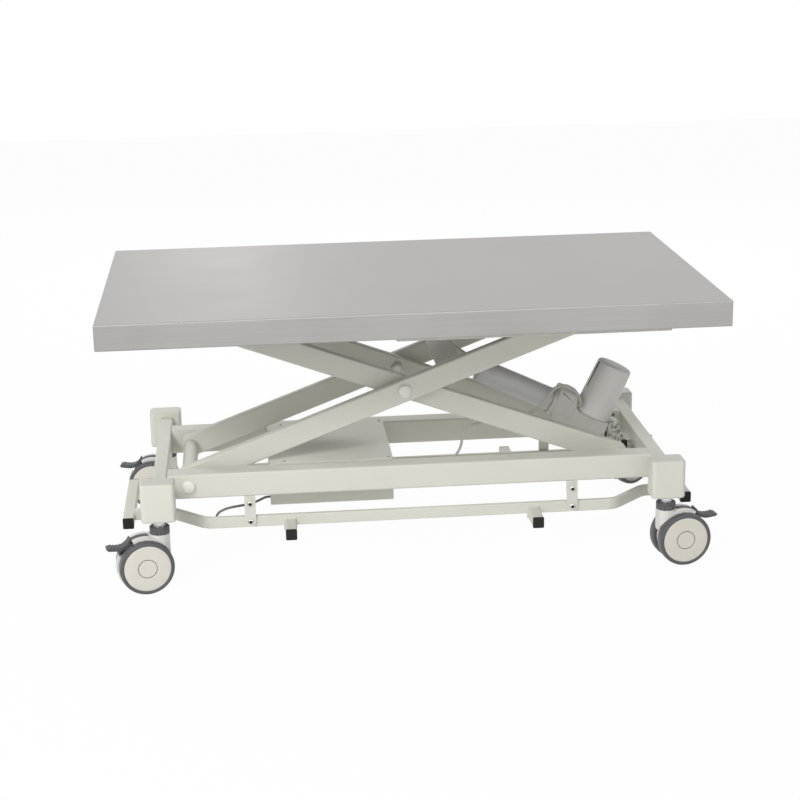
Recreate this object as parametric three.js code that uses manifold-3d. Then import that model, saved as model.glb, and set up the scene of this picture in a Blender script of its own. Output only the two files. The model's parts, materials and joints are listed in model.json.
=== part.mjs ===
// Veterinary exam table: a stainless pan on an electric scissor lift over a low caster base.
// Millimetres, +Z up, +X along the table, the front side at -Y, the floor at Z 0.
import * as THREE from 'three';
import { mergeVertices } from 'three/addons/utils/BufferGeometryUtils.js';
import Module from 'manifold-3d';

const wasm = await Module();
wasm.setup();

// Clearances
const seat = 0.3; // between pieces that touch
const runFit = 0.4; // round a pin or shaft that turns

// Table top
const topLength = 1300;
const topWidth = 768;
const lipDepth = 55;
const panWall = 2;
const panFold = 3;
const panReturn = 16;
const memberWidth = 40;
const memberWall = 3;

// Base frame
const railBottom = 173;
const railHeight = 55;
const railDepth = 50;
const railWall = 4;
const railRound = 5;
const railOuterY = 192;
const crossRailX = 545;
const crossRailWidth = 30;
const crossRailWall = 3;
const postWidth = 73.5;
const postDepth = 53;
const postBottom = 153.5;
const postHeight = 85.5;
const postWall = 4;
const postRound = 9;
const postFold = 5;
const postX = 548;
const postFrontY = 259.5;
const postRearY = 285;
const rollerSlotStart = 320; // the opening in a rail's inner wall
const rollerSlotEnd = 516;

// Scissor
const liftAngle = THREE.MathUtils.degToRad(20.25);
const pivotX = -484.5;
const armLower = 510; // from the centre pivot to a lower end
const armUpper = 446; // from the centre pivot to an upper end
const armHeight = 50;
const armThick = 24;
const armWall = 3;
const armCut = 17; // the outer arms' lower ends, past the pivot
const armCorner = 13;
const armAOuterY = 130;
const armBOuterY = 97;
const shaftRadius = 10;
const boltRadius = 9;
const capRadius = 14.5;
const capHeight = 7;
const pivotTubeRadius = 16.5;
const rollerWidth = 26;
const trackStart = -27;
const trackInset = 80; // from the right end of the top
const bracketWall = 6;
const bracketRadius = 22;

// Actuator, measured from its rear pin along its axis
const rearPinX = 482;
const rearPinZ = 237.5;
const pinRadius = 7;
const rodPinAlong = 131.8; // from the centre pivot, along the outer arms
const rodPinDrop = 15.6; // below the outer arms' centre line
const gearRear = 18;
const gearFront = 150;
const gearHalfHeight = 35;
const gearHalfWidth = 30;
const socketLength = 12;
const socketRadius = 33;
const motorReach = 58;
const motorRadius = 39.6;
const motorSeat = 44;
const saddleDrop = 32;
const motorTop = 133;
const outerTubeRadius = 27;
const outerTubeWall = 3;
const outerTubeEnd = 324;
const guideLength = 24;
const rodRadius = 12.5;
const rodInset = 16; // the rod's inner end, from the housing's collar
const rearLugRadius = 15;
const rearLugHalf = 14;
const cheekWall = 6;
const headPlate = 8;
const headLength = 54;
const headBack = 20.8; // from the rod's pin back to the middle of the head plate
const lugWall = 8;
const lugGap = 26;
const slotHalf = 10.5; // the rod pin's free travel to each side
const slotPlay = 3;

// Control box
const boxLeft = -308.5;
const boxRight = -37;
const boxBottom = 133.5;
const boxWall = 1.5;
const boxRim = 150;
const lidInset = 24; // from the left end of the box

// Foot frame
const barHeight = 25;
const barThick = 12;
const barBottom = 101.2;
const barFrontY = 189;
const barJog = 80; // how far the ends of a bar stand back
const bendStart = 434.5;
const bendRadius = 37;
const footTube = 24;
const footTubeWall = 2;
const footTubeTop = 116.3;
const stubX = 268;
const stubReach = 259;
const footEndX = 622;
const footEndReach = 138;
const linkX = 354;
const linkWidth = 24;
const linkWall = 4;
const linkTopZ = 156;
const linkLowZ = 115;
const linkPinRadius = 4;
const linkHeadRadius = 6.5;
const linkHeadHeight = 3;
const tabWall = 5;
const tabDrop = 29;

// Casters
const wheelRadius = 58.5;
const wheelOuter = 36.5;
const wheelInner = 12.5;
const hubRadius = 48.7;
const hubCapRadius = 19.75;
const axleRadius = 6;
const trail = 34.8;
const webHalf = 11;
const webRadius = 50;
const forkTop = 124;
const neckRadius = 21.5;
const collarRadius = 21;
const collarTop = 136.5;
const nutRadius = 13;
const nutHeight = 5;
const stemRadius = 10.8;
const stemTop = 200;
const wheelPlay = 0.8; // between the wheels and the hood over them
const rimRadius = 61.5; // the web's edge below the pedal
const hoodRadius = 60.8;
const hoodShift = -0.7; // the hood's centre from the axle, towards the stem
const hoodRise = 4; // and above it
const hoodHalf = 22;
const hoodStart = 64; // degrees above the trail direction
const hoodEnd = 128;
const pedalArmHalf = 6;
const pedalArmPlay = 0.5;
const pedalArmSink = 2.8; // into the groove in the hood
const pedalArmThick = 4.4;
const pedalTravel = 4.4; // room under the arm
const pedalHalf = 12;
const hornX = 64.5;
const hornZ = 121;
const pedalTip = 116.5;
const pedalTipZ = 101.5;

// Places that follow from the sizes above
const railTop = railBottom + railHeight;
const pivotZ = railBottom + railHeight / 2;
const centreX = pivotX + armLower * Math.cos(liftAngle);
const centreZ = pivotZ + armLower * Math.sin(liftAngle);
const trackZ = centreZ + armUpper * Math.sin(liftAngle);
const upperPivotX = centreX - armUpper * Math.cos(liftAngle);
const trackTop = trackZ + railHeight / 2;
const trackEnd = topLength / 2 - trackInset;
const memberBottom = trackTop + seat;
const memberHeight = lipDepth - 2 * panWall - 2 * seat;
const topZ = memberBottom + memberHeight + seat + panWall;
const rollerRadius = railHeight / 2 - railWall - runFit;
const rollerOuterY = railOuterY - railWall - 12;
const rollerInnerY = rollerOuterY - rollerWidth;
const armAInnerY = armAOuterY - armThick;
const armBInnerY = armBOuterY - armThick;
const crossRailInnerX = crossRailX - crossRailWidth / 2;
const barMiddleY = barFrontY - barThick / 2;
const barEndY = barMiddleY - barJog;
const bendEnd = bendStart + barJog + 2 * bendRadius * (Math.SQRT2 - 1);
const linkFrontY = barFrontY + seat + linkWall;
const rodPin = new THREE.Vector2(rodPinAlong, -rodPinDrop);
const rodReach = rodPin.clone().rotateAround(new THREE.Vector2(), liftAngle)
  .add(new THREE.Vector2(centreX - rearPinX, centreZ - rearPinZ));
const rodPinReach = rodReach.length();
const actuatorSlope = Math.atan2(rodReach.y, -rodReach.x);
const hoodX = trail - hoodShift;
const hoodZ = wheelRadius + hoodRise;

// Finishes
const paint = { color: 0xd5d5cc, roughness: 0.45, metalness: 0 };
const stainless = { color: 0xb9b7b6, roughness: 0.35, metalness: 1 };
const zinc = { color: 0xb4b6b4, roughness: 0.4, metalness: 1 };
const steel = { color: 0xa4a6a8, roughness: 0.25, metalness: 1 };
const nylon = { color: 0xe2e1da, roughness: 0.55, metalness: 0 };
const greyPlastic = { color: 0xc4c4c0, roughness: 0.5, metalness: 0 };
const aluminium = { color: 0xa9abad, roughness: 0.35, metalness: 1 };
const hubPlastic = { color: 0xdad5cb, roughness: 0.45, metalness: 0 };
const wheelRubber = { color: 0x5c5a5e, roughness: 0.7, metalness: 0 };
const pedalPlastic = { color: 0x55545a, roughness: 0.6, metalness: 0 };
const cable = { color: 0xb9b7ac, roughness: 0.6, metalness: 0 };
const darkCable = { color: 0x4c4b47, roughness: 0.6, metalness: 0 };

const table = new THREE.Group();

function addMesh(parent, name, geometry, finish) {
  const mesh = new THREE.Mesh(geometry, new THREE.MeshStandardMaterial(finish));
  mesh.name = name;
  parent.add(mesh);
  return mesh;
}

function addGroup(x, y, z) {
  const group = new THREE.Group();
  group.position.set(x, y, z);
  table.add(group);
  return group;
}

// Solids: a geometry becomes a closed solid for the add and subtract steps, and comes back.
function toSolid(geometry) {
  const bare = new THREE.BufferGeometry();
  bare.setAttribute('position', geometry.getAttribute('position'));
  bare.setIndex(geometry.getIndex());
  const welded = mergeVertices(bare, 1e-4);
  return new wasm.Manifold(new wasm.Mesh({
    numProp: 3,
    vertProperties: Float32Array.from(welded.getAttribute('position').array),
    triVerts: Uint32Array.from(welded.getIndex().array),
  }));
}

function toGeometry(solid) {
  const mesh = solid.getMesh();
  const geometry = new THREE.BufferGeometry();
  geometry.setAttribute('position', new THREE.BufferAttribute(mesh.vertProperties, 3));
  geometry.setIndex(new THREE.BufferAttribute(mesh.triVerts, 1));
  return geometry;
}

function join(...geometries) {
  return toGeometry(wasm.Manifold.union(geometries.map(toSolid)));
}

function cut(geometry, ...tools) {
  return toGeometry(wasm.Manifold.difference([geometry, ...tools].map(toSolid)));
}

function trim(geometry, keep) {
  return toGeometry(wasm.Manifold.intersection([geometry, keep].map(toSolid)));
}

// Outlines
function rectangle(x0, x1, y0, y1) {
  const shape = new THREE.Shape();
  shape.moveTo(x0, y0).lineTo(x1, y0).lineTo(x1, y1).lineTo(x0, y1).closePath();
  return shape;
}

function roundedRectangle(x0, x1, y0, y1, r) {
  const shape = new THREE.Shape();
  shape.absarc(x1 - r, y0 + r, r, -Math.PI / 2, 0);
  shape.absarc(x1 - r, y1 - r, r, 0, Math.PI / 2);
  shape.absarc(x0 + r, y1 - r, r, Math.PI / 2, Math.PI);
  shape.absarc(x0 + r, y0 + r, r, Math.PI, Math.PI * 1.5);
  return shape;
}

function circle(x, y, r) {
  return new THREE.Shape().absarc(x, y, r, 0, Math.PI * 2);
}

// A slot or a link plate: two round ends joined by straight sides.
function obround(x0, y0, x1, y1, r) {
  const turn = Math.atan2(y1 - y0, x1 - x0);
  const shape = new THREE.Shape();
  shape.absarc(x1, y1, r, turn - Math.PI / 2, turn + Math.PI / 2);
  shape.absarc(x0, y0, r, turn + Math.PI / 2, turn + Math.PI * 1.5);
  return shape;
}

function ring(x, y, outer, inner) {
  const shape = circle(x, y, outer);
  shape.holes.push(circle(x, y, inner));
  return shape;
}

function squareTube(x0, x1, y0, y1, wall, r) {
  const shape = roundedRectangle(x0, x1, y0, y1, r);
  shape.holes.push(rectangle(x0 + wall, x1 - wall, y0 + wall, y1 - wall));
  return shape;
}

// An open channel drawn across (y, z): its web at webY, its flanges reaching to tipY.
function channel(webY, tipY, bottom) {
  const toTip = Math.sign(tipY - webY);
  const inner = webY + toTip * railWall;
  const turn = webY + toTip * railRound;
  const high = bottom + railHeight;
  const shape = new THREE.Shape();
  shape.moveTo(tipY, bottom).lineTo(turn, bottom);
  shape.quadraticCurveTo(webY, bottom, webY, bottom + railRound);
  shape.lineTo(webY, high - railRound);
  shape.quadraticCurveTo(webY, high, turn, high);
  shape.lineTo(tipY, high).lineTo(tipY, high - railWall).lineTo(inner, high - railWall);
  shape.lineTo(inner, bottom + railWall).lineTo(tipY, bottom + railWall).closePath();
  return shape;
}

// Prisms of an outline, along each axis. A fold rounds both end edges.
function prism(shape, depth, segments, fold) {
  return new THREE.ExtrudeGeometry(shape, {
    depth: depth - 2 * fold,
    curveSegments: segments,
    bevelEnabled: fold > 0,
    bevelThickness: fold,
    bevelSize: fold,
    bevelOffset: -fold,
    bevelSegments: fold > 2 ? 2 : 1,
  }).translate(0, 0, fold);
}

function alongZ(shape, z0, z1, segments = 2, fold = 0) {
  return prism(shape, z1 - z0, segments, fold).translate(0, 0, z0);
}

// The outline's own axes are (x, z).
function alongY(shape, y0, y1, segments = 2, fold = 0) {
  return prism(shape, y1 - y0, segments, fold).rotateX(Math.PI / 2).translate(0, y1, 0);
}

// The outline's own axes are (y, z).
function alongX(shape, x0, x1, segments = 2, fold = 0) {
  const turn = new THREE.Matrix4().makeBasis(
    new THREE.Vector3(0, 1, 0), new THREE.Vector3(0, 0, 1), new THREE.Vector3(1, 0, 0));
  return prism(shape, x1 - x0, segments, fold).applyMatrix4(turn).translate(x0, 0, 0);
}

function barAlongY(x, z, radius, y0, y1) {
  const segments = radius < linkHeadRadius + 1 ? 5 : 6;
  return alongY(circle(x, z, radius), Math.min(y0, y1), Math.max(y0, y1), segments);
}

// A turned piece on the Y axis, from (radius, y) steps that begin and end on the axis.
function turned(steps, segments = 14) {
  return new THREE.LatheGeometry(steps.map(([r, y]) => new THREE.Vector2(r, y)), segments);
}

// Steps of a turned piece for the rear side, given those of the front side.
function mirrored(steps) {
  return steps.map(([r, y]) => [r, -y]).reverse();
}

// Base frame: two box rails between two cross rails, with a post at each corner.
// The lower rollers run inside the rails and reach in through a slot.
function railWithTabs(side) {
  const outer = side * railOuterY;
  const inner = side * (railOuterY - railDepth);
  const [y0, y1] = [Math.min(outer, inner), Math.max(outer, inner)];
  const rail = alongX(
    squareTube(y0, y1, railBottom, railTop, railWall, railRound), -crossRailInnerX + seat, crossRailInnerX - seat);
  const tabFront = side * barFrontY;
  const tabBack = side * (barFrontY - tabWall);
  const headBack = side * (linkFrontY + seat);
  const headFront = side * (linkFrontY + seat + linkHeadHeight);
  const tabs = [-linkX, linkX].map((x) => join(
    alongY(
      roundedRectangle(x - linkWidth / 2, x + linkWidth / 2, railBottom - tabDrop, railBottom + 2, 3),
      Math.min(tabFront, tabBack), Math.max(tabFront, tabBack)),
    barAlongY(x, linkTopZ, linkPinRadius, tabBack, headFront),
    barAlongY(x, linkTopZ, linkHeadRadius, headBack, headFront)));
  const bore = barAlongY(pivotX, pivotZ, shaftRadius + runFit, outer - 20, outer + 20);
  const spacerBore = barAlongY(pivotX, pivotZ, capRadius + 2 * runFit, inner - 20, inner + 20);
  const slot = alongY(
    rectangle(rollerSlotStart, rollerSlotEnd, railBottom + railWall, railTop - railWall), inner - 6, inner + 6);
  return cut(join(rail, ...tabs), bore, spacerBore, slot);
}

function crossRail(side) {
  const shape = squareTube(
    side * crossRailX - crossRailWidth / 2, side * crossRailX + crossRailWidth / 2,
    railBottom, railTop, crossRailWall, railRound);
  const past = postDepth / 2 + seat;
  return alongY(shape, -postFrontY + past, postRearY - past);
}

function cornerPost() {
  const x = postWidth / 2;
  const y = postDepth / 2;
  const block = alongZ(roundedRectangle(-x, x, -y, y, postRound), 0, postHeight, 1, postFold);
  const hollow = alongZ(
    roundedRectangle(-x + postWall, x - postWall, -y + postWall, y - postWall, postRound - postWall),
    postWall + 2, postHeight - postWall);
  const socket = alongZ(circle(0, 0, stemRadius + runFit), -1, postHeight / 2, 6);
  return cut(block, hollow, socket);
}

addMesh(table, 'front_rail', railWithTabs(-1), paint);
addMesh(table, 'rear_rail', railWithTabs(1), paint);
addMesh(table, 'left_cross_rail', crossRail(-1), paint);
addMesh(table, 'right_cross_rail', crossRail(1), paint);
const corners = [
  { name: 'front_left', x: -postX, y: -postFrontY, swivel: 191.3 },
  { name: 'front_right', x: postX, y: -postFrontY, swivel: 7.8 },
  { name: 'rear_left', x: -postX, y: postRearY, swivel: 173.5 },
  { name: 'rear_right', x: postX, y: postRearY, swivel: 32 },
];
for (const corner of corners) {
  const post = addMesh(table, `${corner.name}_post`, cornerPost(), paint);
  post.position.set(corner.x, corner.y, postBottom);
}

// Control box: a folded tray hung by its rim between the rails, under a screwed lid.
function controlBox() {
  const half = railOuterY - railDepth - seat;
  const rimBottom = railTop + seat;
  const tray = alongZ(rectangle(boxLeft, boxRight, -half, half), boxBottom, rimBottom + boxWall);
  const rim = alongZ(rectangle(boxLeft, boxRight, -boxRim, boxRim), rimBottom, rimBottom + boxWall);
  const inside = alongZ(
    rectangle(boxLeft + boxWall, boxRight - boxWall, -half + boxWall, half - boxWall),
    boxBottom + boxWall, rimBottom + 2 * boxWall);
  return cut(join(tray, rim), inside);
}

const lidBottom = railTop + boxWall + 2 * seat;
addMesh(table, 'control_box', controlBox(), paint);
addMesh(table, 'control_box_lid', alongZ(
  roundedRectangle(boxLeft + lidInset, boxRight, -boxRim, boxRim, 4), lidBottom, lidBottom + boxWall), paint);

// The lower pivot: a shaft through both rails, with spacers at the arms and domed end caps.
function lowerPivotShaft() {
  const half = [
    [0, -railOuterY - seat - capHeight],
    [capRadius, -railOuterY - seat - capHeight + 2],
    [capRadius, -railOuterY - seat],
    [shaftRadius, -railOuterY - seat],
    [shaftRadius, -railOuterY + railWall + seat],
    [capRadius, -railOuterY + railWall + seat],
    [capRadius, -armAOuterY - seat],
    [shaftRadius, -armAOuterY - seat],
  ];
  return turned([...half, ...mirrored(half)]).translate(pivotX, 0, pivotZ);
}

addMesh(table, 'lower_pivot_shaft', lowerPivotShaft(), nylon);

// Scissor arms: rectangular tube with rounded ends, bored at both ends and at the centre pivot.
function armTube(outerY, side, bores, past, corner) {
  const y0 = Math.min(side * outerY, side * (outerY - armThick));
  const half = armHeight / 2;
  const from = bores[0][0];
  const to = bores.at(-1)[0];
  const tube = alongX(
    squareTube(y0, y0 + armThick, -half, half, armWall, 4), from - half, to + half, 1);
  const outline = new THREE.Shape().absarc(to, 0, half + 0.01, -Math.PI / 2, Math.PI / 2);
  outline.absarc(from - past + corner, half + 0.01 - corner, corner, Math.PI / 2, Math.PI);
  outline.absarc(from - past + corner, corner - half - 0.01, corner, Math.PI, Math.PI * 1.5);
  const roundEnds = alongY(outline, y0 - 1, y0 + armThick + 1, 4);
  const tools = bores.map(([x, r]) => barAlongY(x, 0, r + runFit, y0 - 5, y0 + armThick + 5));
  return cut(trim(tube, roundEnds), ...tools);
}

// A bolt through both arms of one side: domed cap, washer between the arms, nut inside.
function centreBolt(side) {
  const front = [
    [0, -armAOuterY - seat - capHeight],
    [capRadius, -armAOuterY - seat - capHeight + 2],
    [capRadius, -armAOuterY - seat],
    [boltRadius, -armAOuterY - seat],
    [boltRadius, -armAInnerY + seat],
    [capRadius, -armAInnerY + seat],
    [capRadius, -armBOuterY - seat],
    [boltRadius, -armBOuterY - seat],
    [boltRadius, -armBInnerY + seat + 14],
    [0, -armBInnerY + seat + 15],
  ];
  const bolt = turned(side < 0 ? front : mirrored(front));
  const nut = new THREE.CylinderGeometry(14, 14, 10, 6).translate(0, side * (armBInnerY - seat - 5), 0);
  return join(bolt, nut);
}

// A roller with its own axle, which turns in the end of an arm.
function armRoller(outerY, side) {
  const innerY = outerY - armThick;
  const front = [
    [0, -rollerOuterY],
    [rollerRadius, -rollerOuterY],
    [rollerRadius, -rollerInnerY],
    [boltRadius + 4, -rollerInnerY],
    [boltRadius + 4, -outerY - seat],
    [boltRadius, -outerY - seat],
    [boltRadius, -innerY + seat],
    [boltRadius + 3, -innerY + seat],
    [boltRadius + 3, -innerY + seat + 4],
    [0, -innerY + seat + 4],
  ];
  return turned(side < 0 ? front : mirrored(front));
}

function crossTube(x, reach) {
  const tube = ring(x, 0, pivotTubeRadius, shaftRadius + runFit);
  return alongY(tube, -reach + seat, reach - seat, 6);
}

// The head that the actuator lifts: a plate between the arms and two lugs, slotted for the pin.
function liftHead() {
  const reach = armAInnerY - seat;
  const plateTop = armHeight / 2;
  const plateLeft = rodPin.x - headBack - headLength / 2;
  const plateRight = plateLeft + headLength;
  const plate = alongY(rectangle(plateLeft, plateRight, plateTop - headPlate, plateTop), -reach, reach);
  const wide = pinRadius + slotPlay;
  const lugShape = new THREE.Shape();
  const left = rodPin.x - slotHalf;
  const right = rodPin.x + slotHalf;
  lugShape.moveTo(plateLeft + 4, plateTop - headPlate / 2);
  lugShape.absarc(left, rodPin.y, wide * 1.9, Math.PI, Math.PI * 1.5);
  lugShape.absarc(right, rodPin.y, wide * 1.9, Math.PI * 1.5, Math.PI * 2);
  lugShape.lineTo(plateRight, plateTop - headPlate / 2);
  lugShape.closePath();
  lugShape.holes.push(obround(left, rodPin.y, right, rodPin.y, wide));
  const inner = lugGap / 2;
  const lugs = [-inner - lugWall, inner].map((y) => alongY(lugShape, y, y + lugWall, 5));
  return join(plate, ...lugs);
}

const armA = addGroup(centreX, 0, centreZ);
armA.rotation.y = -liftAngle;
const armB = addGroup(centreX, 0, centreZ);
armB.rotation.y = liftAngle;
const sides = [{ name: 'front', y: -1 }, { name: 'rear', y: 1 }];
for (const side of sides) {
  const boresA = [[-armLower, shaftRadius], [0, boltRadius], [armUpper, boltRadius]];
  const boresB = [[-armUpper, shaftRadius], [0, boltRadius], [armLower, boltRadius]];
  addMesh(armA, `${side.name}_outer_arm`, armTube(armAOuterY, side.y, boresA, armCut, armCorner), paint);
  addMesh(armB, `${side.name}_inner_arm`, armTube(armBOuterY, side.y, boresB, armHeight / 2, armHeight / 2), paint);
  addMesh(armA, `${side.name}_centre_bolt`, centreBolt(side.y), nylon);
  addMesh(armA, `${side.name}_upper_roller`, armRoller(armAOuterY, side.y), nylon).position.x = armUpper;
  addMesh(armB, `${side.name}_lower_roller`, armRoller(armBOuterY, side.y), nylon).position.x = armLower;
}
addMesh(armA, 'outer_arm_pivot_tube', crossTube(-armLower, armAInnerY), paint);
addMesh(armB, 'inner_arm_pivot_tube', crossTube(-armUpper, armBInnerY), paint);

addMesh(armA, 'lift_head', liftHead(), paint);

// Table top: a folded pan over three cross members, with a track under each side.
function topPan() {
  const x = topLength / 2;
  const y = topWidth / 2;
  const outer = alongZ(roundedRectangle(-x, x, -y, y, panFold + 1), topZ - lipDepth, topZ, 2, panFold);
  const inside = alongZ(
    rectangle(-x + panWall, x - panWall, -y + panWall, y - panWall),
    topZ - lipDepth + panWall, topZ - panWall);
  const mouth = alongZ(
    rectangle(-x + panReturn, x - panReturn, -y + panReturn, y - panReturn),
    topZ - lipDepth - 1, topZ - lipDepth + 2 * panWall);
  return cut(outer, inside, mouth);
}

function crossMember(x) {
  const reach = topWidth / 2 - panWall - seat;
  const shape = squareTube(
    x - memberWidth / 2, x + memberWidth / 2, memberBottom, memberBottom + memberHeight, memberWall, 4);
  return alongY(shape, -reach, reach);
}

// The left member carries the plates that the inner arms hang on.
function pivotMember() {
  const plate = new THREE.Shape();
  plate.moveTo(upperPivotX + bracketRadius, memberBottom + memberWall / 2);
  plate.lineTo(upperPivotX - bracketRadius, memberBottom + memberWall / 2);
  plate.absarc(upperPivotX, trackZ, bracketRadius, Math.PI, Math.PI * 2);
  plate.holes.push(circle(upperPivotX, trackZ, shaftRadius + runFit));
  const inner = armBOuterY + 1;
  const plates = [-inner - bracketWall, inner].map((y) => alongY(plate, y, y + bracketWall, 6));
  return join(crossMember(upperPivotX), ...plates);
}

function upperPivotShaft() {
  const face = armBOuterY + 1 + bracketWall + seat;
  const half = [
    [0, -face - capHeight],
    [capRadius, -face - capHeight + 2],
    [capRadius, -face],
    [shaftRadius, -face],
  ];
  return turned([...half, ...mirrored(half)]).translate(upperPivotX, 0, trackZ);
}

addMesh(table, 'top_pan', topPan(), stainless);
addMesh(table, 'left_cross_member', pivotMember(), paint);
addMesh(table, 'middle_cross_member', crossMember(trackStart + memberWidth), paint);
addMesh(table, 'right_cross_member', crossMember(trackEnd - memberWidth), paint);
addMesh(table, 'upper_pivot_shaft', upperPivotShaft(), zinc);
for (const side of sides) {
  const shape = channel(side.y * railOuterY, side.y * (railOuterY - railDepth), trackTop - railHeight);
  addMesh(table, `${side.name}_track`, alongX(shape, trackStart, trackEnd), paint);
}

// Actuator: its own axes run from the rear pin, X back along the rod and Z up the motor.
function actuatorBracket() {
  const inner = rearLugHalf + 1;
  const plateX = crossRailInnerX - seat;
  const floor = railBottom + railHeight / 3;
  const ear = rearLugRadius + 1;
  const plate = alongZ(rectangle(rearPinX - ear - 8, plateX, -34, 34), floor - cheekWall, floor);
  const foot = alongX(roundedRectangle(-34, 34, railBottom + 3, railTop - 8, 4), plateX - 5, plateX);
  const cheek = new THREE.Shape();
  cheek.moveTo(rearPinX - ear, floor - 2).lineTo(rearPinX + ear, floor - 2);
  cheek.absarc(rearPinX, rearPinZ, ear, 0, Math.PI);
  cheek.closePath();
  const cheeks = [-inner - cheekWall, inner].map((y) => alongY(cheek, y, y + cheekWall, 6));
  const pin = barAlongY(rearPinX, rearPinZ, pinRadius, -inner - cheekWall - 4, inner + cheekWall + 4);
  return join(plate, foot, ...cheeks, pin);
}

function gearHousing() {
  const side = new THREE.Shape();
  side.moveTo(-gearFront, -gearHalfHeight + 6).lineTo(-gearFront, gearHalfHeight - 4);
  side.lineTo(-gearFront + 14, gearHalfHeight).lineTo(-gearRear - 10, gearHalfHeight);
  side.lineTo(-gearRear, gearHalfHeight - 10);
  side.lineTo(-gearRear, -8).lineTo(-gearRear - 24, -gearHalfHeight);
  side.lineTo(-gearFront + 12, -gearHalfHeight).closePath();
  const body = alongY(side, -gearHalfWidth, gearHalfWidth, 2, 5);
  const collar = alongX(circle(0, 0, socketRadius), -gearFront - socketLength, -gearFront + 8, 10);
  const saddleRadius = motorRadius + 1.5;
  const saddle = turned([
    [0, -saddleDrop],
    [saddleRadius - 8, -saddleDrop],
    [saddleRadius, -saddleDrop + 8],
    [saddleRadius, motorSeat],
    [0, motorSeat],
  ], 22).rotateX(Math.PI / 2).translate(-motorReach, 0, 0);
  const lug = alongY(obround(-gearRear - 8, 0, 0, 0, rearLugRadius), -rearLugHalf, rearLugHalf, 8);
  const bore = barAlongY(0, 0, pinRadius + runFit, -gearHalfWidth, gearHalfWidth);
  const bracketRoom = rearLugRadius + 2;
  const clear = [-1, 1].map((s) => alongY(
    circle(0, 0, bracketRoom), s < 0 ? -60 : rearLugHalf, s < 0 ? -rearLugHalf : 60, 10));
  return cut(join(body, collar, saddle, lug), bore, ...clear);
}

function motorCover() {
  const edge = 6;
  const low = motorSeat + seat;
  const steps = [
    [0, low], [motorRadius, low], [motorRadius, motorTop - edge],
    [motorRadius - edge * 0.3, motorTop - edge * 0.3], [motorRadius - edge, motorTop], [0, motorTop + 1],
  ];
  return turned(steps, 28).rotateX(Math.PI / 2).translate(-motorReach, 0, 0);
}

function outerTube() {
  const start = -outerTubeEnd;
  const end = -gearFront - socketLength - seat;
  const hollow = outerTubeRadius - outerTubeWall;
  const tube = alongX(circle(0, 0, outerTubeRadius), start, end, 16);
  const guide = alongX(circle(0, 0, rodRadius + runFit), start - 1, start + guideLength + 1, 10);
  const inside = alongX(circle(0, 0, hollow), start + guideLength, end + 1, 12);
  return cut(tube, guide, inside);
}

function pushRod() {
  const eye = lugGap / 2 - 2;
  const pinEnd = lugGap / 2 + lugWall + 5;
  const rod = alongX(circle(0, 0, rodRadius), -rodPinReach, -gearFront - socketLength - rodInset, 10);
  const boss = barAlongY(-rodPinReach, 0, rodRadius + 3, -eye, eye);
  const pin = barAlongY(-rodPinReach, 0, pinRadius, -pinEnd, pinEnd);
  const heads = [-pinEnd, pinEnd - 4].map((y) => barAlongY(-rodPinReach, 0, pinRadius + 5, y, y + 4));
  return join(rod, boss, pin, ...heads);
}

addMesh(table, 'actuator_bracket', actuatorBracket(), zinc);
const actuator = addGroup(rearPinX, 0, rearPinZ);
actuator.rotation.y = actuatorSlope;
addMesh(actuator, 'gear_housing', gearHousing(), greyPlastic);
addMesh(actuator, 'motor_cover', motorCover(), greyPlastic);
addMesh(actuator, 'outer_tube', outerTube(), aluminium);
addMesh(actuator, 'push_rod', pushRod(), steel);

// Foot frame: two flat bars, bent back at both ends so that the casters can turn, each with two toe stubs.
// They are joined by two end tubes and hang on links.
function barOutline() {
  const half = barThick / 2;
  const end = footEndX - footTube / 2 - seat;
  const turns = [0.25, 0.5, 0.75, 1.25, 1.5, 1.75].map((share) => share * Math.PI);
  const [right, up, left, downLeft, down, downRight] = turns;
  const startY = barMiddleY - bendRadius;
  const endY = barEndY + bendRadius;
  const shape = new THREE.Shape().moveTo(-end, barEndY + half);
  shape.absarc(-bendEnd, endY, bendRadius - half, down, downRight);
  shape.absarc(-bendStart, startY, bendRadius + half, left, up, true);
  shape.absarc(bendStart, startY, bendRadius + half, up, right, true);
  shape.absarc(bendEnd, endY, bendRadius - half, downLeft, down);
  shape.lineTo(end, barEndY + half).lineTo(end, barEndY - half);
  shape.absarc(bendEnd, endY, bendRadius + half, down, downLeft, true);
  shape.absarc(bendStart, startY, bendRadius - half, right, up);
  shape.absarc(-bendStart, startY, bendRadius - half, up, left);
  shape.absarc(-bendEnd, endY, bendRadius + half, downRight, down, true);
  return shape.lineTo(-end, barEndY - half).closePath();
}

// Drawn for the rear, and turned about for the front.
function footBar(side) {
  const bar = alongZ(barOutline(), barBottom, barBottom + barHeight, 3, 2);
  const headBack = linkFrontY + seat;
  const headFront = headBack + linkHeadHeight;
  const pins = [-linkX, linkX].map((x) => join(
    barAlongY(x, linkLowZ, linkPinRadius, barFrontY - 4, headFront),
    barAlongY(x, linkLowZ, linkHeadRadius, headBack, headFront)));
  const stubs = [-stubX, stubX].map((x) => alongY(
    squareTube(x - footTube / 2, x + footTube / 2, footTubeTop - footTube, footTubeTop, footTubeWall, 2.5),
    barFrontY - 3, stubReach));
  return join(bar, ...pins, ...stubs).rotateZ(side < 0 ? Math.PI : 0);
}

function footLink(x, side) {
  const shape = obround(x, linkLowZ, x, linkTopZ, linkWidth / 2);
  shape.holes.push(circle(x, linkLowZ, linkPinRadius + runFit), circle(x, linkTopZ, linkPinRadius + runFit));
  const near = side * (barFrontY + seat);
  const far = side * linkFrontY;
  return alongY(shape, Math.min(near, far), Math.max(near, far), 5);
}

function footEndTube(x) {
  const shape = squareTube(
    x - footTube / 2, x + footTube / 2, footTubeTop - footTube, footTubeTop, footTubeWall, 2.5);
  return alongY(shape, -footEndReach, footEndReach);
}

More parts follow.
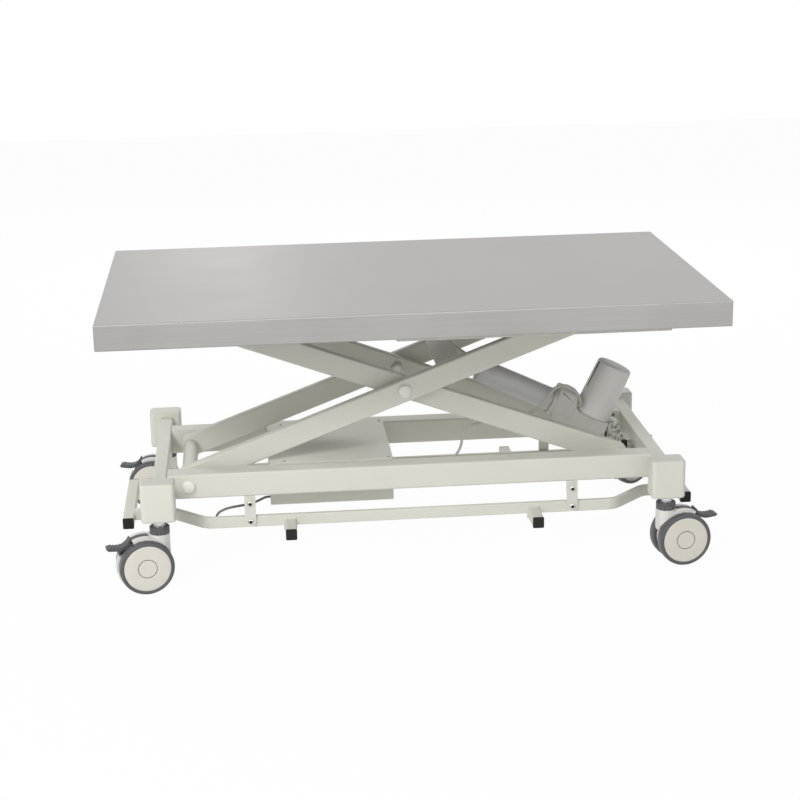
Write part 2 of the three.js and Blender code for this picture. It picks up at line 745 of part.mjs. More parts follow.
for (const side of sides) {
  addMesh(table, `${side.name}_foot_bar`, footBar(side.y), paint);
  addMesh(table, `${side.name}_left_link`, footLink(-linkX, side.y), paint);
  addMesh(table, `${side.name}_right_link`, footLink(linkX, side.y), paint);
}
addMesh(table, 'left_foot_end_tube', footEndTube(-footEndX), paint);
addMesh(table, 'right_foot_end_tube', footEndTube(footEndX), paint);

// Casters: X is the trail, Y the axle. Twin wheels share an axle through the housing's web.
function wheelSet() {
  const half = [
    [0, -wheelOuter],
    [hubCapRadius, -wheelOuter],
    [hubCapRadius + 1, -wheelOuter + 1],
    [hubRadius, -wheelOuter + 1],
    [wheelRadius, -wheelOuter + 6],
    [wheelRadius, -wheelInner],
    [axleRadius, -wheelInner],
  ];
  return turned([...half, ...mirrored(half)], 24).translate(trail, 0, wheelRadius);
}

// Points on a circle about the hood's centre, by degrees above the trail direction.
function hoodArc(shape, radius, from, to) {
  const [a, b] = [from, to].map(THREE.MathUtils.degToRad);
  return shape.absarc(hoodX, hoodZ, radius, a, b, to < from);
}

function casterHousing() {
  const rimTurns = [-30, 25].map(THREE.MathUtils.degToRad);
  const rim = new THREE.Shape().absarc(trail, wheelRadius, rimRadius, ...rimTurns).lineTo(trail, wheelRadius);
  const web = join(
    alongY(circle(trail, wheelRadius, webRadius), -webHalf, webHalf, 8), alongY(rim, -webHalf, webHalf, 4));
  const gusset = new THREE.Shape();
  gusset.moveTo(-neckRadius + 2, forkTop - 1).lineTo(-neckRadius + 2, wheelRadius + 22);
  gusset.lineTo(trail, wheelRadius).lineTo(trail + 6, hoodZ + hoodRadius - 8).lineTo(neckRadius - 2, forkTop - 1);
  const rib = alongY(gusset, -webHalf, webHalf);
  const neck = alongZ(circle(0, 0, neckRadius), wheelRadius + 20, forkTop, 7);
  const hoodShape = hoodArc(new THREE.Shape(), hoodRadius, hoodStart, hoodEnd).lineTo(hoodX, hoodZ);
  const hood = alongY(hoodShape, -hoodHalf, hoodHalf, 4);
  const collar = alongZ(circle(0, 0, collarRadius), forkTop - 1, collarTop, 7);
  const nut = alongZ(circle(0, 0, nutRadius), collarTop - 1, collarTop + nutHeight, 3);
  const stem = alongZ(circle(0, 0, stemRadius), collarTop, stemTop, 6);
  const wheelRoom = [-wheelOuter - 10, webHalf].map((y) => alongY(
    circle(trail, wheelRadius, wheelRadius + wheelPlay), y, y + wheelOuter + 10 - webHalf, 12));
  const bore = barAlongY(trail, wheelRadius, axleRadius + runFit, -hoodHalf, hoodHalf);
  const grooveShape = new THREE.Shape();
  hoodArc(grooveShape, hoodRadius + 12, hoodStart - 10, 101);
  hoodArc(grooveShape, hoodRadius - pedalArmSink - pedalTravel, 101, hoodStart - 10);
  const grooveHalf = pedalArmHalf + pedalArmPlay;
  const groove = alongY(grooveShape, -grooveHalf, grooveHalf, 3);
  return cut(join(web, rib, neck, hood, collar, nut, stem), ...wheelRoom, bore, groove);
}

// The brake pedal: an arm in the hood's groove and a hollowed paddle with a horn at its root and a row of teeth.
function brakePedal() {
  const armShape = new THREE.Shape();
  const low = hoodRadius - pedalArmSink;
  hoodArc(armShape, low + pedalArmThick, hoodStart - 7, 98);
  hoodArc(armShape, low, 98, hoodStart - 7);
  const arm = alongY(armShape, -pedalArmHalf, pedalArmHalf, 2);
  const paddle = new THREE.Shape();
  paddle.moveTo(hornX - 0.5, hornZ - 1).lineTo(hornX + 0.5, hornZ - 12);
  paddle.quadraticCurveTo(hornX + 10, pedalTipZ - 4, pedalTip - 26, pedalTipZ - 5.5);
  paddle.lineTo(pedalTip - 5, pedalTipZ - 3.5).lineTo(pedalTip, pedalTipZ).lineTo(pedalTip - 1.5, pedalTipZ + 3);
  const toe = new THREE.Vector2(pedalTip - 7, pedalTipZ + 4);
  const tread = new THREE.CubicBezierCurve(
    toe,
    new THREE.Vector2(toe.x - 16, toe.y - 4),
    new THREE.Vector2(hornX + 11, toe.y - 4),
    new THREE.Vector2(hornX + 3.5, hornZ - 3));
  const teeth = 7;
  for (let i = 0; i < teeth; i += 1) {
    const root = tread.getPoint(i / teeth);
    const crest = tread.getPoint((i + 0.4) / teeth);
    paddle.lineTo(root.x, root.y).lineTo(crest.x, crest.y + 1.8);
  }
  paddle.lineTo(hornX + 2, hornZ).closePath();
  return join(arm, alongY(paddle, -pedalHalf, pedalHalf, 5));
}

for (const corner of corners) {
  const caster = addGroup(corner.x, corner.y, 0);
  caster.rotation.z = THREE.MathUtils.degToRad(corner.swivel);
  addMesh(caster, `${corner.name}_caster_housing`, casterHousing(), hubPlastic);
  addMesh(caster, `${corner.name}_wheels`, wheelSet(), wheelRubber);
  addMesh(caster, `${corner.name}_brake_pedal`, brakePedal(), pedalPlastic);
}

// Cables: round cord on a smooth curve through points chosen by hand.
function cord(points, radius, steps) {
  const path = new THREE.CatmullRomCurve3(points.map((p) => new THREE.Vector3(...p)));
  return new THREE.ExtrudeGeometry(circle(0, 0, radius), { steps, extrudePath: path, curveSegments: 4 });
}

const actuatorCable = [
  [400, -30.6, 300], [400, -36, 300], [399, -43, 312], [390, -47, 332], [376, -49, 346],
  [358, -50, 352], [340, -51, 346], [324, -52, 330], [310, -53, 312], [294, -54, 298],
  [270, -55, 288], [240, -56, 283], [205, -57, 280], [170, -57, 276], [142, -57, 266],
  [128, -57, 248], [125, -57, 228], [116, -58, 208], [96, -60, 190], [66, -61, 177],
  [30, -62, 171], [-8, -62, 169], [-36.6, -62, 169],
];
const footCable = [
  [-308.9, -135, 151], [-318, -135.6, 150.4], [-330, -138, 146.4], [-343, -142, 142], [-356, -145.6, 139.8],
  [-370, -150, 138.8], [-386, -155, 138.4], [-402, -159.5, 137], [-415, -163, 133.6], [-424, -165.6, 128.6],
  [-427.6, -167.6, 122.6], [-427.4, -169.6, 118], [-426.4, -172, 115.6], [-426, -174.4, 115], [-426, -176.5, 115],
];
addMesh(table, 'actuator_cable', cord(actuatorCable, 3, 38), cable);
addMesh(table, 'foot_switch_cable', cord(footCable, 2.75, 16), darkCable);

export default table;
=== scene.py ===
import json
import math

import bpy
from mathutils import Matrix, Vector
from mathutils.geometry import interpolate_bezier


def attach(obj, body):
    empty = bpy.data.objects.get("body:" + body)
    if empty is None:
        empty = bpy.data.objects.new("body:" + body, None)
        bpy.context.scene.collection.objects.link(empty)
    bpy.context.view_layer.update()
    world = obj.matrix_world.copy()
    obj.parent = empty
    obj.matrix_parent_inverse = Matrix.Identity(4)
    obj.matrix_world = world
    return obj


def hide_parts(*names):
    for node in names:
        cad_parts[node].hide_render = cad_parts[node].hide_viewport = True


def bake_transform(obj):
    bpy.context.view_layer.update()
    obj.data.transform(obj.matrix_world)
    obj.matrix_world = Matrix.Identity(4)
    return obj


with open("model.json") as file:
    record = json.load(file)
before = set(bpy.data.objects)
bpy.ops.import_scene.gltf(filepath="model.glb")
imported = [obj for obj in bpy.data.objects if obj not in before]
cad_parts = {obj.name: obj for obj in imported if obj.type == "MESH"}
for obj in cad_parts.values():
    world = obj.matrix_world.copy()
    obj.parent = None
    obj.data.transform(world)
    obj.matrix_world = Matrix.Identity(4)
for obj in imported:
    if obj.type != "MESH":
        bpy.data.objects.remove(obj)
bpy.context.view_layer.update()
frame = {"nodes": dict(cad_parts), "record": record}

mm = 0.001
scene = bpy.context.scene
scene.view_settings.view_transform = "Standard"
print("frame loaded:", len(frame["nodes"]), "nodes")

# camera, worked out from the edges of the top, the posts and the rails in the photo
cameraSettings = {
    "place": (-342.05, -3952.66, 1456.84),
    "yaw": 4.85,       # degrees, from straight along +Y towards +X
    "pitch": 15.988,   # degrees down
    "roll": -1.141,
    "lens": 82.08,
}


def aimMatrix(yaw, pitch, roll):
    forward = Vector((math.sin(yaw) * math.cos(pitch), math.cos(yaw) * math.cos(pitch), -math.sin(pitch)))
    right = Vector((math.cos(yaw), -math.sin(yaw), 0))
    up = right.cross(forward)
    turnedRight = math.cos(roll) * right + math.sin(roll) * up
    turnedUp = -math.sin(roll) * right + math.cos(roll) * up
    return Matrix((turnedRight, turnedUp, -forward)).transposed().to_4x4()


cameraData = bpy.data.cameras.new("photo_camera")
cameraData.lens = cameraSettings["lens"]
cameraData.sensor_width = 36
cameraData.sensor_fit = "HORIZONTAL"
cameraData.clip_end = 60
camera = bpy.data.objects.new("photo_camera", cameraData)
camera.matrix_world = Matrix.Translation(Vector(cameraSettings["place"]) * mm) @ aimMatrix(
    *(math.radians(cameraSettings[key]) for key in ("yaw", "pitch", "roll")))
scene.collection.objects.link(camera)
scene.camera = camera


# small tools
def linear(hexColour):
    channels = [int(hexColour[i:i + 2], 16) / 255 for i in (1, 3, 5)]
    return [c / 12.92 if c <= 0.04045 else ((c + 0.055) / 1.055) ** 2.4 for c in channels] + [1]


# a socket is linked to the input, and any other value is set on it
def setInputs(tree, node, inputs):
    for key, value in inputs.items():
        if isinstance(value, bpy.types.NodeSocket):
            tree.links.new(value, node.inputs[key])
        else:
            node.inputs[key].default_value = value
    return node


def addNode(tree, kind, inputs=None, **settings):
    node = tree.nodes.new(kind)
    for key, value in settings.items():
        setattr(node, key, value)
    return setInputs(tree, node, inputs or {})


def clearSelection():
    if bpy.context.object and bpy.context.object.mode != "OBJECT":
        bpy.ops.object.mode_set(mode="OBJECT")
    bpy.ops.object.select_all(action="DESELECT")


def onlySelect(piece):
    clearSelection()
    piece.select_set(True)
    bpy.context.view_layer.objects.active = piece


def nameIt(piece, name):
    piece.name = name
    piece.data.name = name
    return piece


# a cube stretched between two corners, given in mm
def block(name, low, high):
    clearSelection()
    bpy.ops.mesh.primitive_cube_add(size=1, location=[(a + b) / 2 * mm for a, b in zip(low, high)])
    piece = nameIt(bpy.context.object, name)
    piece.scale = [(b - a) * mm for a, b in zip(low, high)]
    bpy.ops.object.transform_apply(location=True, rotation=True, scale=True)
    return piece


# nothing selected in the piece's mesh, and its points, edges or faces ready to be picked
def startPicking(piece, kind):
    onlySelect(piece)
    bpy.context.tool_settings.mesh_select_mode = [kind == each for each in ("points", "edges", "faces")]
    bpy.ops.object.mode_set(mode="EDIT")
    bpy.ops.mesh.select_all(action="DESELECT")
    bpy.ops.object.mode_set(mode="OBJECT")


# the next three leave edit mode on, with what the test accepts selected; places are in mm
def pickPoints(piece, test):
    startPicking(piece, "points")
    for point in piece.data.vertices:
        point.select = bool(test(point.co / mm))
    bpy.ops.object.mode_set(mode="EDIT")


def pickEdges(piece, test):
    startPicking(piece, "edges")
    points = piece.data.vertices
    for edge in piece.data.edges:
        edge.select = bool(test(points[edge.vertices[0]].co / mm, points[edge.vertices[1]].co / mm))
    bpy.ops.object.mode_set(mode="EDIT")


def pickFaces(piece, test):
    startPicking(piece, "faces")
    for face in piece.data.polygons:
        face.select = bool(test(face.center / mm, face.normal))
    bpy.ops.object.mode_set(mode="EDIT")


# tests for the two ends of an edge
def runsAlongY(a, b):
    return abs(a.y - b.y) > 1


def runsAcrossY(a, b):
    return abs(a.y - b.y) < 0.01


def runsUp(a, b):
    return abs(a.z - b.z) > 1


def liesLevel(a, b):
    return abs(a.z - b.z) < 0.01


def bevelPicked(width, segments):
    bpy.ops.mesh.bevel(offset=width * mm, segments=segments, affect="EDGES")
    bpy.ops.object.mode_set(mode="OBJECT")


# soft shading that leaves the large flat faces flat
def smoothOver(piece, angle):
    onlySelect(piece)
    bpy.ops.object.shade_smooth_by_angle(angle=math.radians(angle))
    flats = piece.modifiers.new("flat faces", "WEIGHTED_NORMAL")
    flats.keep_sharp = True
    bpy.ops.object.modifier_apply(modifier=flats.name)
    return piece


def roundEdges(piece, width, segments, angle=40):
    onlySelect(piece)
    bevel = piece.modifiers.new("edges", "BEVEL")
    bevel.width = width * mm
    bevel.segments = segments
    bevel.limit_method = "ANGLE"
    bevel.angle_limit = math.radians(angle)
    bpy.ops.object.modifier_apply(modifier=bevel.name)
    return smoothOver(piece, angle)


# a line through points in mm, pulled out of one point; edit mode stays on with all of it selected
def drawnLine(name, points):
    clearSelection()
    bpy.ops.mesh.primitive_plane_add(size=mm)
    piece = nameIt(bpy.context.object, name)
    bpy.context.tool_settings.mesh_select_mode = (True, False, False)
    bpy.ops.object.mode_set(mode="EDIT")
    bpy.ops.mesh.select_all(action="SELECT")
    bpy.ops.mesh.merge(type="CENTER")
    bpy.ops.transform.translate(value=[v * mm for v in points[0]])
    for start, end in zip(points, points[1:]):
        bpy.ops.mesh.extrude_vertices_move(
            TRANSFORM_OT_translate={"value": [(b - a) * mm for a, b in zip(start, end)]})
    bpy.ops.mesh.select_all(action="SELECT")
    return piece


# a profile of (radius, height) steps in mm, spun about Z
def turnedPiece(name, steps, segments=56):
    piece = drawnLine(name, [(radius, 0, height) for radius, height in steps])
    bpy.ops.mesh.spin(steps=segments, angle=math.tau, center=(0, 0, 0), axis=(0, 0, 1))
    bpy.ops.mesh.select_all(action="SELECT")
    bpy.ops.mesh.remove_doubles(threshold=1e-6)
    bpy.ops.mesh.normals_make_consistent(inside=False)
    bpy.ops.object.mode_set(mode="OBJECT")
    return smoothOver(piece, 35)


# an outline in X and Y, filled and raised
def outlinePiece(name, points, low, high):
    piece = drawnLine(name, [(x, y, low) for x, y in points])
    bpy.ops.mesh.edge_face_add()
    bpy.ops.mesh.extrude_region_move(TRANSFORM_OT_translate={"value": (0, 0, (high - low) * mm)})
    bpy.ops.mesh.select_all(action="SELECT")
    bpy.ops.mesh.normals_make_consistent(inside=False)
    bpy.ops.object.mode_set(mode="OBJECT")
    return piece


# points on a part of a circle, for profiles and outlines
def arcSteps(centreX, centreY, radius, start, end, count):
    angles = [math.radians(start + (end - start) * i / count) for i in range(count + 1)]
    return [(centreX + radius * math.cos(a), centreY + radius * math.sin(a)) for a in angles]


def mirroredSteps(steps):
    return [(radius, -height) for radius, height in reversed(steps)]


def place(piece, matrix):
    onlySelect(piece)
    piece.matrix_world = matrix
    bpy.ops.object.transform_apply(location=True, rotation=True, scale=True)
    return piece


def at(x, y, z):
    return Matrix.Translation(Vector((x, y, z)) * mm)


def turnAbout(axis, degrees):
    return Matrix.Rotation(math.radians(degrees), 4, axis)


# turns for a piece made on Z that points out to the rear or the front, and for one made for the rear side
halfTurn = turnAbout("X", 180)
zToY = turnAbout("X", -90)
pointing = {"rear": zToY, "front": zToY @ halfTurn}
sideTurn = {"front": turnAbout("Z", 180), "rear": Matrix.Identity(4)}


# a hex nut about Z, with its corners softened
def hexNut(name, radius, height, middle, edge):
    clearSelection()
    bpy.ops.mesh.primitive_cylinder_add(
        vertices=6, radius=radius * mm, depth=height * mm, location=(0, 0, middle * mm))
    nut = nameIt(bpy.context.object, name)
    bpy.ops.object.transform_apply(location=True, rotation=True, scale=True)
    return roundEdges(nut, edge, 3, 40)


def twin(piece, name, matrix):
    onlySelect(piece)
    bpy.ops.object.duplicate()
    return place(nameIt(bpy.context.object, name), matrix)


def joined(name, *pieces):
    onlySelect(pieces[0])
    for piece in pieces[1:]:
        piece.select_set(True)
    bpy.ops.object.join()
    return nameIt(bpy.context.object, name)


def discard(*patterns):
    for pattern in patterns:
        onlySelect(pattern)
        bpy.ops.object.delete()


# a copy of a CAD node, its loose triangles merged into plain faces
def cadCopy(name, node):
    clearSelection()
    piece = bpy.data.objects.new(name, frame["nodes"][node].data.copy())
    piece.data.name = name
    scene.collection.objects.link(piece)
    onlySelect(piece)
    bpy.ops.object.mode_set(mode="EDIT")
    bpy.ops.mesh.select_all(action="SELECT")
    bpy.ops.mesh.remove_doubles(threshold=2e-6)
    bpy.ops.mesh.dissolve_limited(angle_limit=math.radians(1))
    bpy.ops.object.mode_set(mode="OBJECT")
    return piece


def settle(piece, material, body, slotName, *nodes):
    piece.data.materials.clear()
    piece.data.materials.append(material)
    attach(piece, body)
    if nodes:
        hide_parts(*nodes)
    return piece


# materials
def newMaterial(name):
    material = bpy.data.materials.new(name)
    material.use_nodes = True
    tree = material.node_tree
    coords = addNode(tree, "ShaderNodeTexCoord").outputs["Object"]
    return material, tree, tree.nodes["Principled BSDF"], coords


# a surface whose colour and gloss drift a little, with a fine relief; sizes in mm
def finishedSurface(
        name, dark, light, drift, roughness, grain, relief, metallic=0, specular=0.5, stretch=(1, 1, 1)):
    material, tree, shader, coords = newMaterial(name)
    coords = addNode(tree, "ShaderNodeMapping", {"Vector": coords, "Scale": stretch}).outputs[0]
    cloud = addNode(tree, "ShaderNodeTexNoise", {
        "Vector": coords, "Scale": 1 / (drift * mm), "Detail": 4, "Roughness": 0.55})
    fine = addNode(tree, "ShaderNodeTexNoise", {
        "Vector": coords, "Scale": 1 / (grain * mm), "Detail": 3, "Roughness": 0.6})
    tint = addNode(tree, "ShaderNodeMix", {
        "Factor": cloud.outputs["Fac"], "A": linear(dark), "B": linear(light)}, data_type="RGBA")
    gloss = addNode(tree, "ShaderNodeMapRange", {
        "Value": cloud.outputs["Fac"], "From Min": 0.3, "From Max": 0.7,
        "To Min": roughness[0], "To Max": roughness[1]})
    bump = addNode(tree, "ShaderNodeBump", {
        "Height": fine.outputs["Fac"], "Strength": relief, "Distance": grain * mm * 0.2})
    setInputs(tree, shader, {
        "Base Color": tint.outputs[2], "Roughness": gloss.outputs[0], "Normal": bump.outputs[0],
        "Metallic": metallic, "Specular IOR Level": specular})
    return material


# the grain of most of these is finer than a millimetre, and is drawn at 0.8 to 3 mm so that it shows
# powder coat, sprayed and baked on steel: warm off-white, satin, with a faint orange peel
# the peel is drawn at 3 mm, twice its real size, so that it shows
powderCoat = finishedSurface("powder_coat_off_white", "#D4D3C9", "#DBDAD1", 160, (0.38, 0.5), 3, 0.12)
# nylon, turned: brighter and softer than the paint
turnedNylon = finishedSurface("nylon_turned", "#E4E3DD", "#ECEBE6", 40, (0.36, 0.46), 1.5, 0.08)
# ABS, moulded with a fine spark finish: pale grey and even
sparkedAbs = finishedSurface("abs_moulded_pale_grey", "#C2C1BC", "#CBCAC5", 70, (0.4, 0.52), 1.4, 0.2)
# the motor's cover is a lighter moulding with the same finish
lightAbs = finishedSurface("abs_moulded_light_grey", "#D6D5D1", "#DEDDD9", 70, (0.4, 0.52), 1.4, 0.15)
# ABS, moulded smooth: warm off-white hubs, and forks in a cooler white
smoothAbs = finishedSurface("abs_moulded_off_white", "#D6D2C8", "#DEDAD0", 60, (0.28, 0.4), 2.5, 0.05)
forkAbs = finishedSurface("abs_moulded_cool_white", "#DBDAD6", "#E2E1DD", 60, (0.26, 0.38), 2.5, 0.05)
# polyurethane, moulded: dark grey treads, with a sheen that comes and goes
mouldedTread = finishedSurface("polyurethane_moulded_grey", "#505053", "#5B5B5E", 30, (0.3, 0.5), 1.2, 0.15)
# glass-filled nylon, moulded: dark grey with a dry speckle
filledNylon = finishedSurface("glass_filled_nylon_moulded", "#4D4D50", "#59595B", 24, (0.45, 0.6), 1, 0.3)
# polyethylene, moulded: near-black plugs with a waxy sheen
waxyPlug = finishedSurface(
    "polyethylene_moulded_black", "#222220", "#2B2B29", 18, (0.45, 0.58), 1, 0.15, specular=0.22)
# zinc, plated on steel: pale metal with cloudy patches
zincPlate = finishedSurface(
    "zinc_plated_steel", "#A9ABAA", "#C3C5C4", 14, (0.28, 0.48), 1.2, 0.12, metallic=1)
# aluminium tube, drawn and coated silver grey: even and satin, with faint long lines
drawnTube = finishedSurface(
    "aluminium_drawn_coated", "#C2C2C4", "#CBCBCD", 30, (0.4, 0.52), 1.2, 0.06, stretch=(0.05, 1, 1))
# zinc, plated bright on turned steel: screws and nuts that mirror the room
brightZinc = finishedSurface(
    "zinc_plated_bright", "#CFD0CF", "#DDDEDD", 10, (0.2, 0.34), 1, 0.05, metallic=1)
# painted shade: dull near-black steel for plugs in the floors of the screws' recesses, standing in for the
# shade there
paintedShadeSteel = finishedSurface("steel_painted_shade_dark", "#2C2C2B", "#363635", 6, (0.5, 0.6), 1, 0.1, metallic=1)
# steel, ground and hard-chromed: the smoothest metal, with soft mirror lines
chromedRod = finishedSurface(
    "steel_ground_chromed", "#B6B8BA", "#C6C8CA", 20, (0.16, 0.24), 0.8, 0.004, metallic=1)
# PVC, extruded: the two cable sheaths, dull and even
paleSheath = finishedSurface("pvc_extruded_pale", "#B5B3A9", "#C0BEB5", 20, (0.42, 0.55), 1.5, 0.1)
darkSheath = finishedSurface("pvc_extruded_dark", "#6F6E69", "#7B7A75", 20, (0.42, 0.55), 1.5, 0.1)


# stainless sheet, brushed along its length: fine streaks that drift in gloss, and faint wipe marks
def brushedStainless():
    material, tree, shader, coords = newMaterial("stainless_sheet_brushed")
    along = addNode(tree, "ShaderNodeMapping", {"Vector": coords, "Scale": (0.012, 1, 1)}).outputs[0]
    # grit lines are under 0.2 mm, and drawn at 4 mm with finer ones between them so that they show
    lines = addNode(tree, "ShaderNodeTexNoise", {
        "Vector": along, "Scale": 1 / (4 * mm), "Detail": 5, "Roughness": 0.7}).outputs["Fac"]
    wipe = addNode(tree, "ShaderNodeTexNoise", {
        "Vector": coords, "Scale": 1 / (260 * mm), "Detail": 3, "Roughness": 0.5}).outputs["Fac"]
    mixed = addNode(tree, "ShaderNodeMath", {0: lines, 1: wipe}, operation="ADD").outputs[0]
    streak = addNode(tree, "ShaderNodeMapRange", {"Value": mixed, "From Min": 0.7, "From Max": 1.3})
    tint = addNode(tree, "ShaderNodeMix", {
        "Factor": streak.outputs[0], "A": linear("#A8A6A4"), "B": linear("#B7B5B2")}, data_type="RGBA")
    gloss = addNode(tree, "ShaderNodeMapRange", {
        "Value": mixed, "From Min": 0.7, "From Max": 1.3, "To Min": 0.36, "To Max": 0.52})
    bump = addNode(tree, "ShaderNodeBump", {"Height": lines, "Strength": 0.08, "Distance": 0.3 * mm})
    setInputs(tree, shader, {
        "Base Color": tint.outputs[2], "Roughness": gloss.outputs[0], "Normal": bump.outputs[0],
        "Metallic": 1})
    return material


# steel, dipped in hot zinc: crystals the size of a fingernail, each with its own brightness
def dippedZinc():
    material, tree, shader, coords = newMaterial("steel_hot_dip_galvanised")
    crystals = addNode(tree, "ShaderNodeTexVoronoi", {"Vector": coords, "Scale": 1 / (7 * mm)})
    value = addNode(tree, "ShaderNodeSeparateColor", {"Color": crystals.outputs["Color"]}).outputs[0]
    tint = addNode(tree, "ShaderNodeMix", {
        "Factor": value, "A": linear("#8F918C"), "B": linear("#D9DAD4")}, data_type="RGBA")
    gloss = addNode(tree, "ShaderNodeMapRange", {"Value": value, "To Min": 0.34, "To Max": 0.5})
    setInputs(tree, shader, {
        "Base Color": tint.outputs[2], "Roughness": gloss.outputs[0], "Metallic": 1})
    return material


stainless = brushedStainless()
galvanised = dippedZinc()
slotMaterials = {
    "painted_frame": powderCoat, "stainless_top": stainless, "zinc_plate": zincPlate,
    "polished_rod": chromedRod, "drawn_aluminium": drawnTube, "white_nylon": turnedNylon,
    "actuator_plastic": sparkedAbs, "caster_hub": smoothAbs, "wheel_rubber": mouldedTread,
    "pedal_plastic": filledNylon, "pale_cable": paleSheath, "dark_cable": darkSheath,
}
for part in frame["record"]["subparts"]:
    node = frame["nodes"][part["node"]]
    node.data.materials.clear()
    node.data.materials.append(slotMaterials[part["material_slot"]])
print("materials made:", len(slotMaterials))

# cables, on the same points as in the CAD
actuatorCable = {
    "points": [
        (400, -30.6, 300), (400, -36, 300), (399, -43, 312), (390, -47, 332), (376, -49, 346),
        (358, -50, 352), (340, -51, 346), (324, -52, 330), (310, -53, 312), (294, -54, 298),
        (270, -55, 288), (240, -56, 283), (205, -57, 280), (170, -57, 276), (142, -57, 266),
        (128, -57, 248), (125, -57, 228), (116, -58, 208), (96, -60, 190), (66, -61, 177),
        (30, -62, 171), (-8, -62, 169), (-36.6, -62, 169)],
    "diameter": 6, "length": 554,
    # where it leaves the actuator, and where it comes to rest on the base
    "leaves": (396, -40, 300), "rests": (150, -57, 270),
}
footCable = {
    "points": [
        (-308.9, -135, 151), (-318, -135.6, 150.4), (-330, -138, 146.4), (-343, -142, 142),
        (-356, -145.6, 139.8), (-370, -150, 138.8), (-386, -155, 138.4), (-402, -159.5, 137),
        (-415, -163, 133.6), (-424, -165.6, 128.6), (-427.6, -167.6, 122.6), (-427.4, -169.6, 118),
        (-426.4, -172, 115.6), (-426, -174.4, 115), (-426, -176.5, 115)],
    "diameter": 5.5, "length": 143.5,
}


def cable(name, settings):
    data = bpy.data.curves.new(name, "CURVE")
    data.dimensions = "3D"
    data.bevel_depth = settings["diameter"] / 2 * mm
    data.bevel_resolution = 5
    data.resolution_u = 8
    data.use_fill_caps = True
    spline = data.splines.new("BEZIER")
    spline.bezier_points.add(len(settings["points"]) - 1)
    for knot, point in zip(spline.bezier_points, settings["points"]):
        knot.co = Vector(point) * mm
        knot.handle_left_type = knot.handle_right_type = "AUTO"
    piece = bpy.data.objects.new(name, data)
    scene.collection.objects.link(piece)
    return piece


# the curve's own line, in points close enough together to have its length
def centreLine(run):
    knots = run.data.splines[0].bezier_points
    line = [knots[0].co.copy()]
    for start, end in zip(knots, knots[1:]):
        line += interpolate_bezier(start.co, start.handle_right, end.handle_left, end.co, 10)[1:]
    return line


for name, settings, material, slotName in (
        ("actuator_cable_run", actuatorCable, paleSheath, "pale_cable"),
        ("foot_switch_cable_run", footCable, darkSheath, "dark_cable")):
    run = cable(name, settings)
    line = centreLine(run)
    onlySelect(run)
    bpy.ops.object.convert(target="MESH")
    run = smoothOver(bpy.context.object, 40)
    run.data.materials.clear()
    run.data.materials.append(material)
    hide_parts(name.replace("_run", ""))
    if "leaves" in settings:
        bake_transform(run)
    else:
        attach(run, "base")
print("cables laid")

# top: one folded sheet, its lips turned in underneath
topSettings = {
    "length": 1300, "width": 768, "top": 611.89, "lip": 55, "wall": 2, "return": 16, "fold": 3,
    "lipFold": 1.2}


def foldedTop(sheet):
    x, y = sheet["length"] / 2, sheet["width"] / 2
    top, wall, turnedIn = sheet["top"], sheet["wall"], sheet["return"]
    bottom = top - sheet["lip"]
    piece = block("folded_top", (-x, -y, bottom), (x, y, top))
    pickFaces(piece, lambda middle, normal: normal.z < -0.5)
    bpy.ops.mesh.inset(thickness=turnedIn * mm)
    bpy.ops.mesh.extrude_region_move(TRANSFORM_OT_translate={"value": (0, 0, wall * mm)})
    bpy.ops.mesh.extrude_region_move(TRANSFORM_OT_translate={"value": (0, 0, 0)})
    bpy.ops.transform.resize(value=((x - wall) / (x - turnedIn), (y - wall) / (y - turnedIn), 1))
    bpy.ops.mesh.extrude_region_move(
        TRANSFORM_OT_translate={"value": (0, 0, (sheet["lip"] - 2 * wall) * mm)})

    def onCorner(a, b):
        return all(abs(p.x) > x - 0.1 and abs(p.y) > y - 0.1 for p in (a, b))

    def onTop(a, b):
        return min(a.z, b.z) > top - 0.1

    def underLip(a, b):
        atEdge = min(abs(a.x), abs(b.x)) > x - 4 or min(abs(a.y), abs(b.y)) > y - 4
        return max(a.z, b.z) < bottom + 0.1 and atEdge

    pickEdges(piece, lambda a, b: onTop(a, b) or onCorner(a, b))
    bevelPicked(sheet["fold"], 5)
    pickEdges(piece, underLip)
    bevelPicked(sheet["lipFold"], 3)
    return smoothOver(piece, 35)


settle(foldedTop(topSettings), stainless, "top", "stainless_top", "top_pan")
for side in ("front", "rear"):
    track = roundEdges(cadCopy(side + "_track_channel", side + "_track"), 0.8, 2, 50)
    settle(track, powderCoat, "top", "painted_frame", side + "_track")
print("top made")

# scissor arms: rectangular tube with rounded corners and ends, the outer ones cut short at the lower pivot
armSettings = {
    "angle": 20.25, "centre": (-6.0224, 377.0197), "height": 50, "lower": 510, "upper": 446, "corner": 4.5,
    "outer": {"walls": (106, 130), "past": 17, "endCorner": 13},
    "inner": {"walls": (73, 97), "past": 25, "endCorner": 24.3}}


# a bar along X; it runs past its start by the given length and ends in a half circle
def armBar(name, start, end, y0, y1, past, endCorner):
    half = armSettings["height"] / 2
    piece = block(name, (start - past, y0, -half), (end + half, y1, half))
    pickEdges(piece, lambda a, b: runsAlongY(a, b) and a.x < start)
    bevelPicked(endCorner, 10)
    pickEdges(piece, lambda a, b: runsAlongY(a, b) and a.x > end + half - 0.1)
    bevelPicked(half * 0.97, 12)
    pickEdges(piece, runsAcrossY)
    bevelPicked(armSettings["corner"], 4)
    return smoothOver(piece, 30)


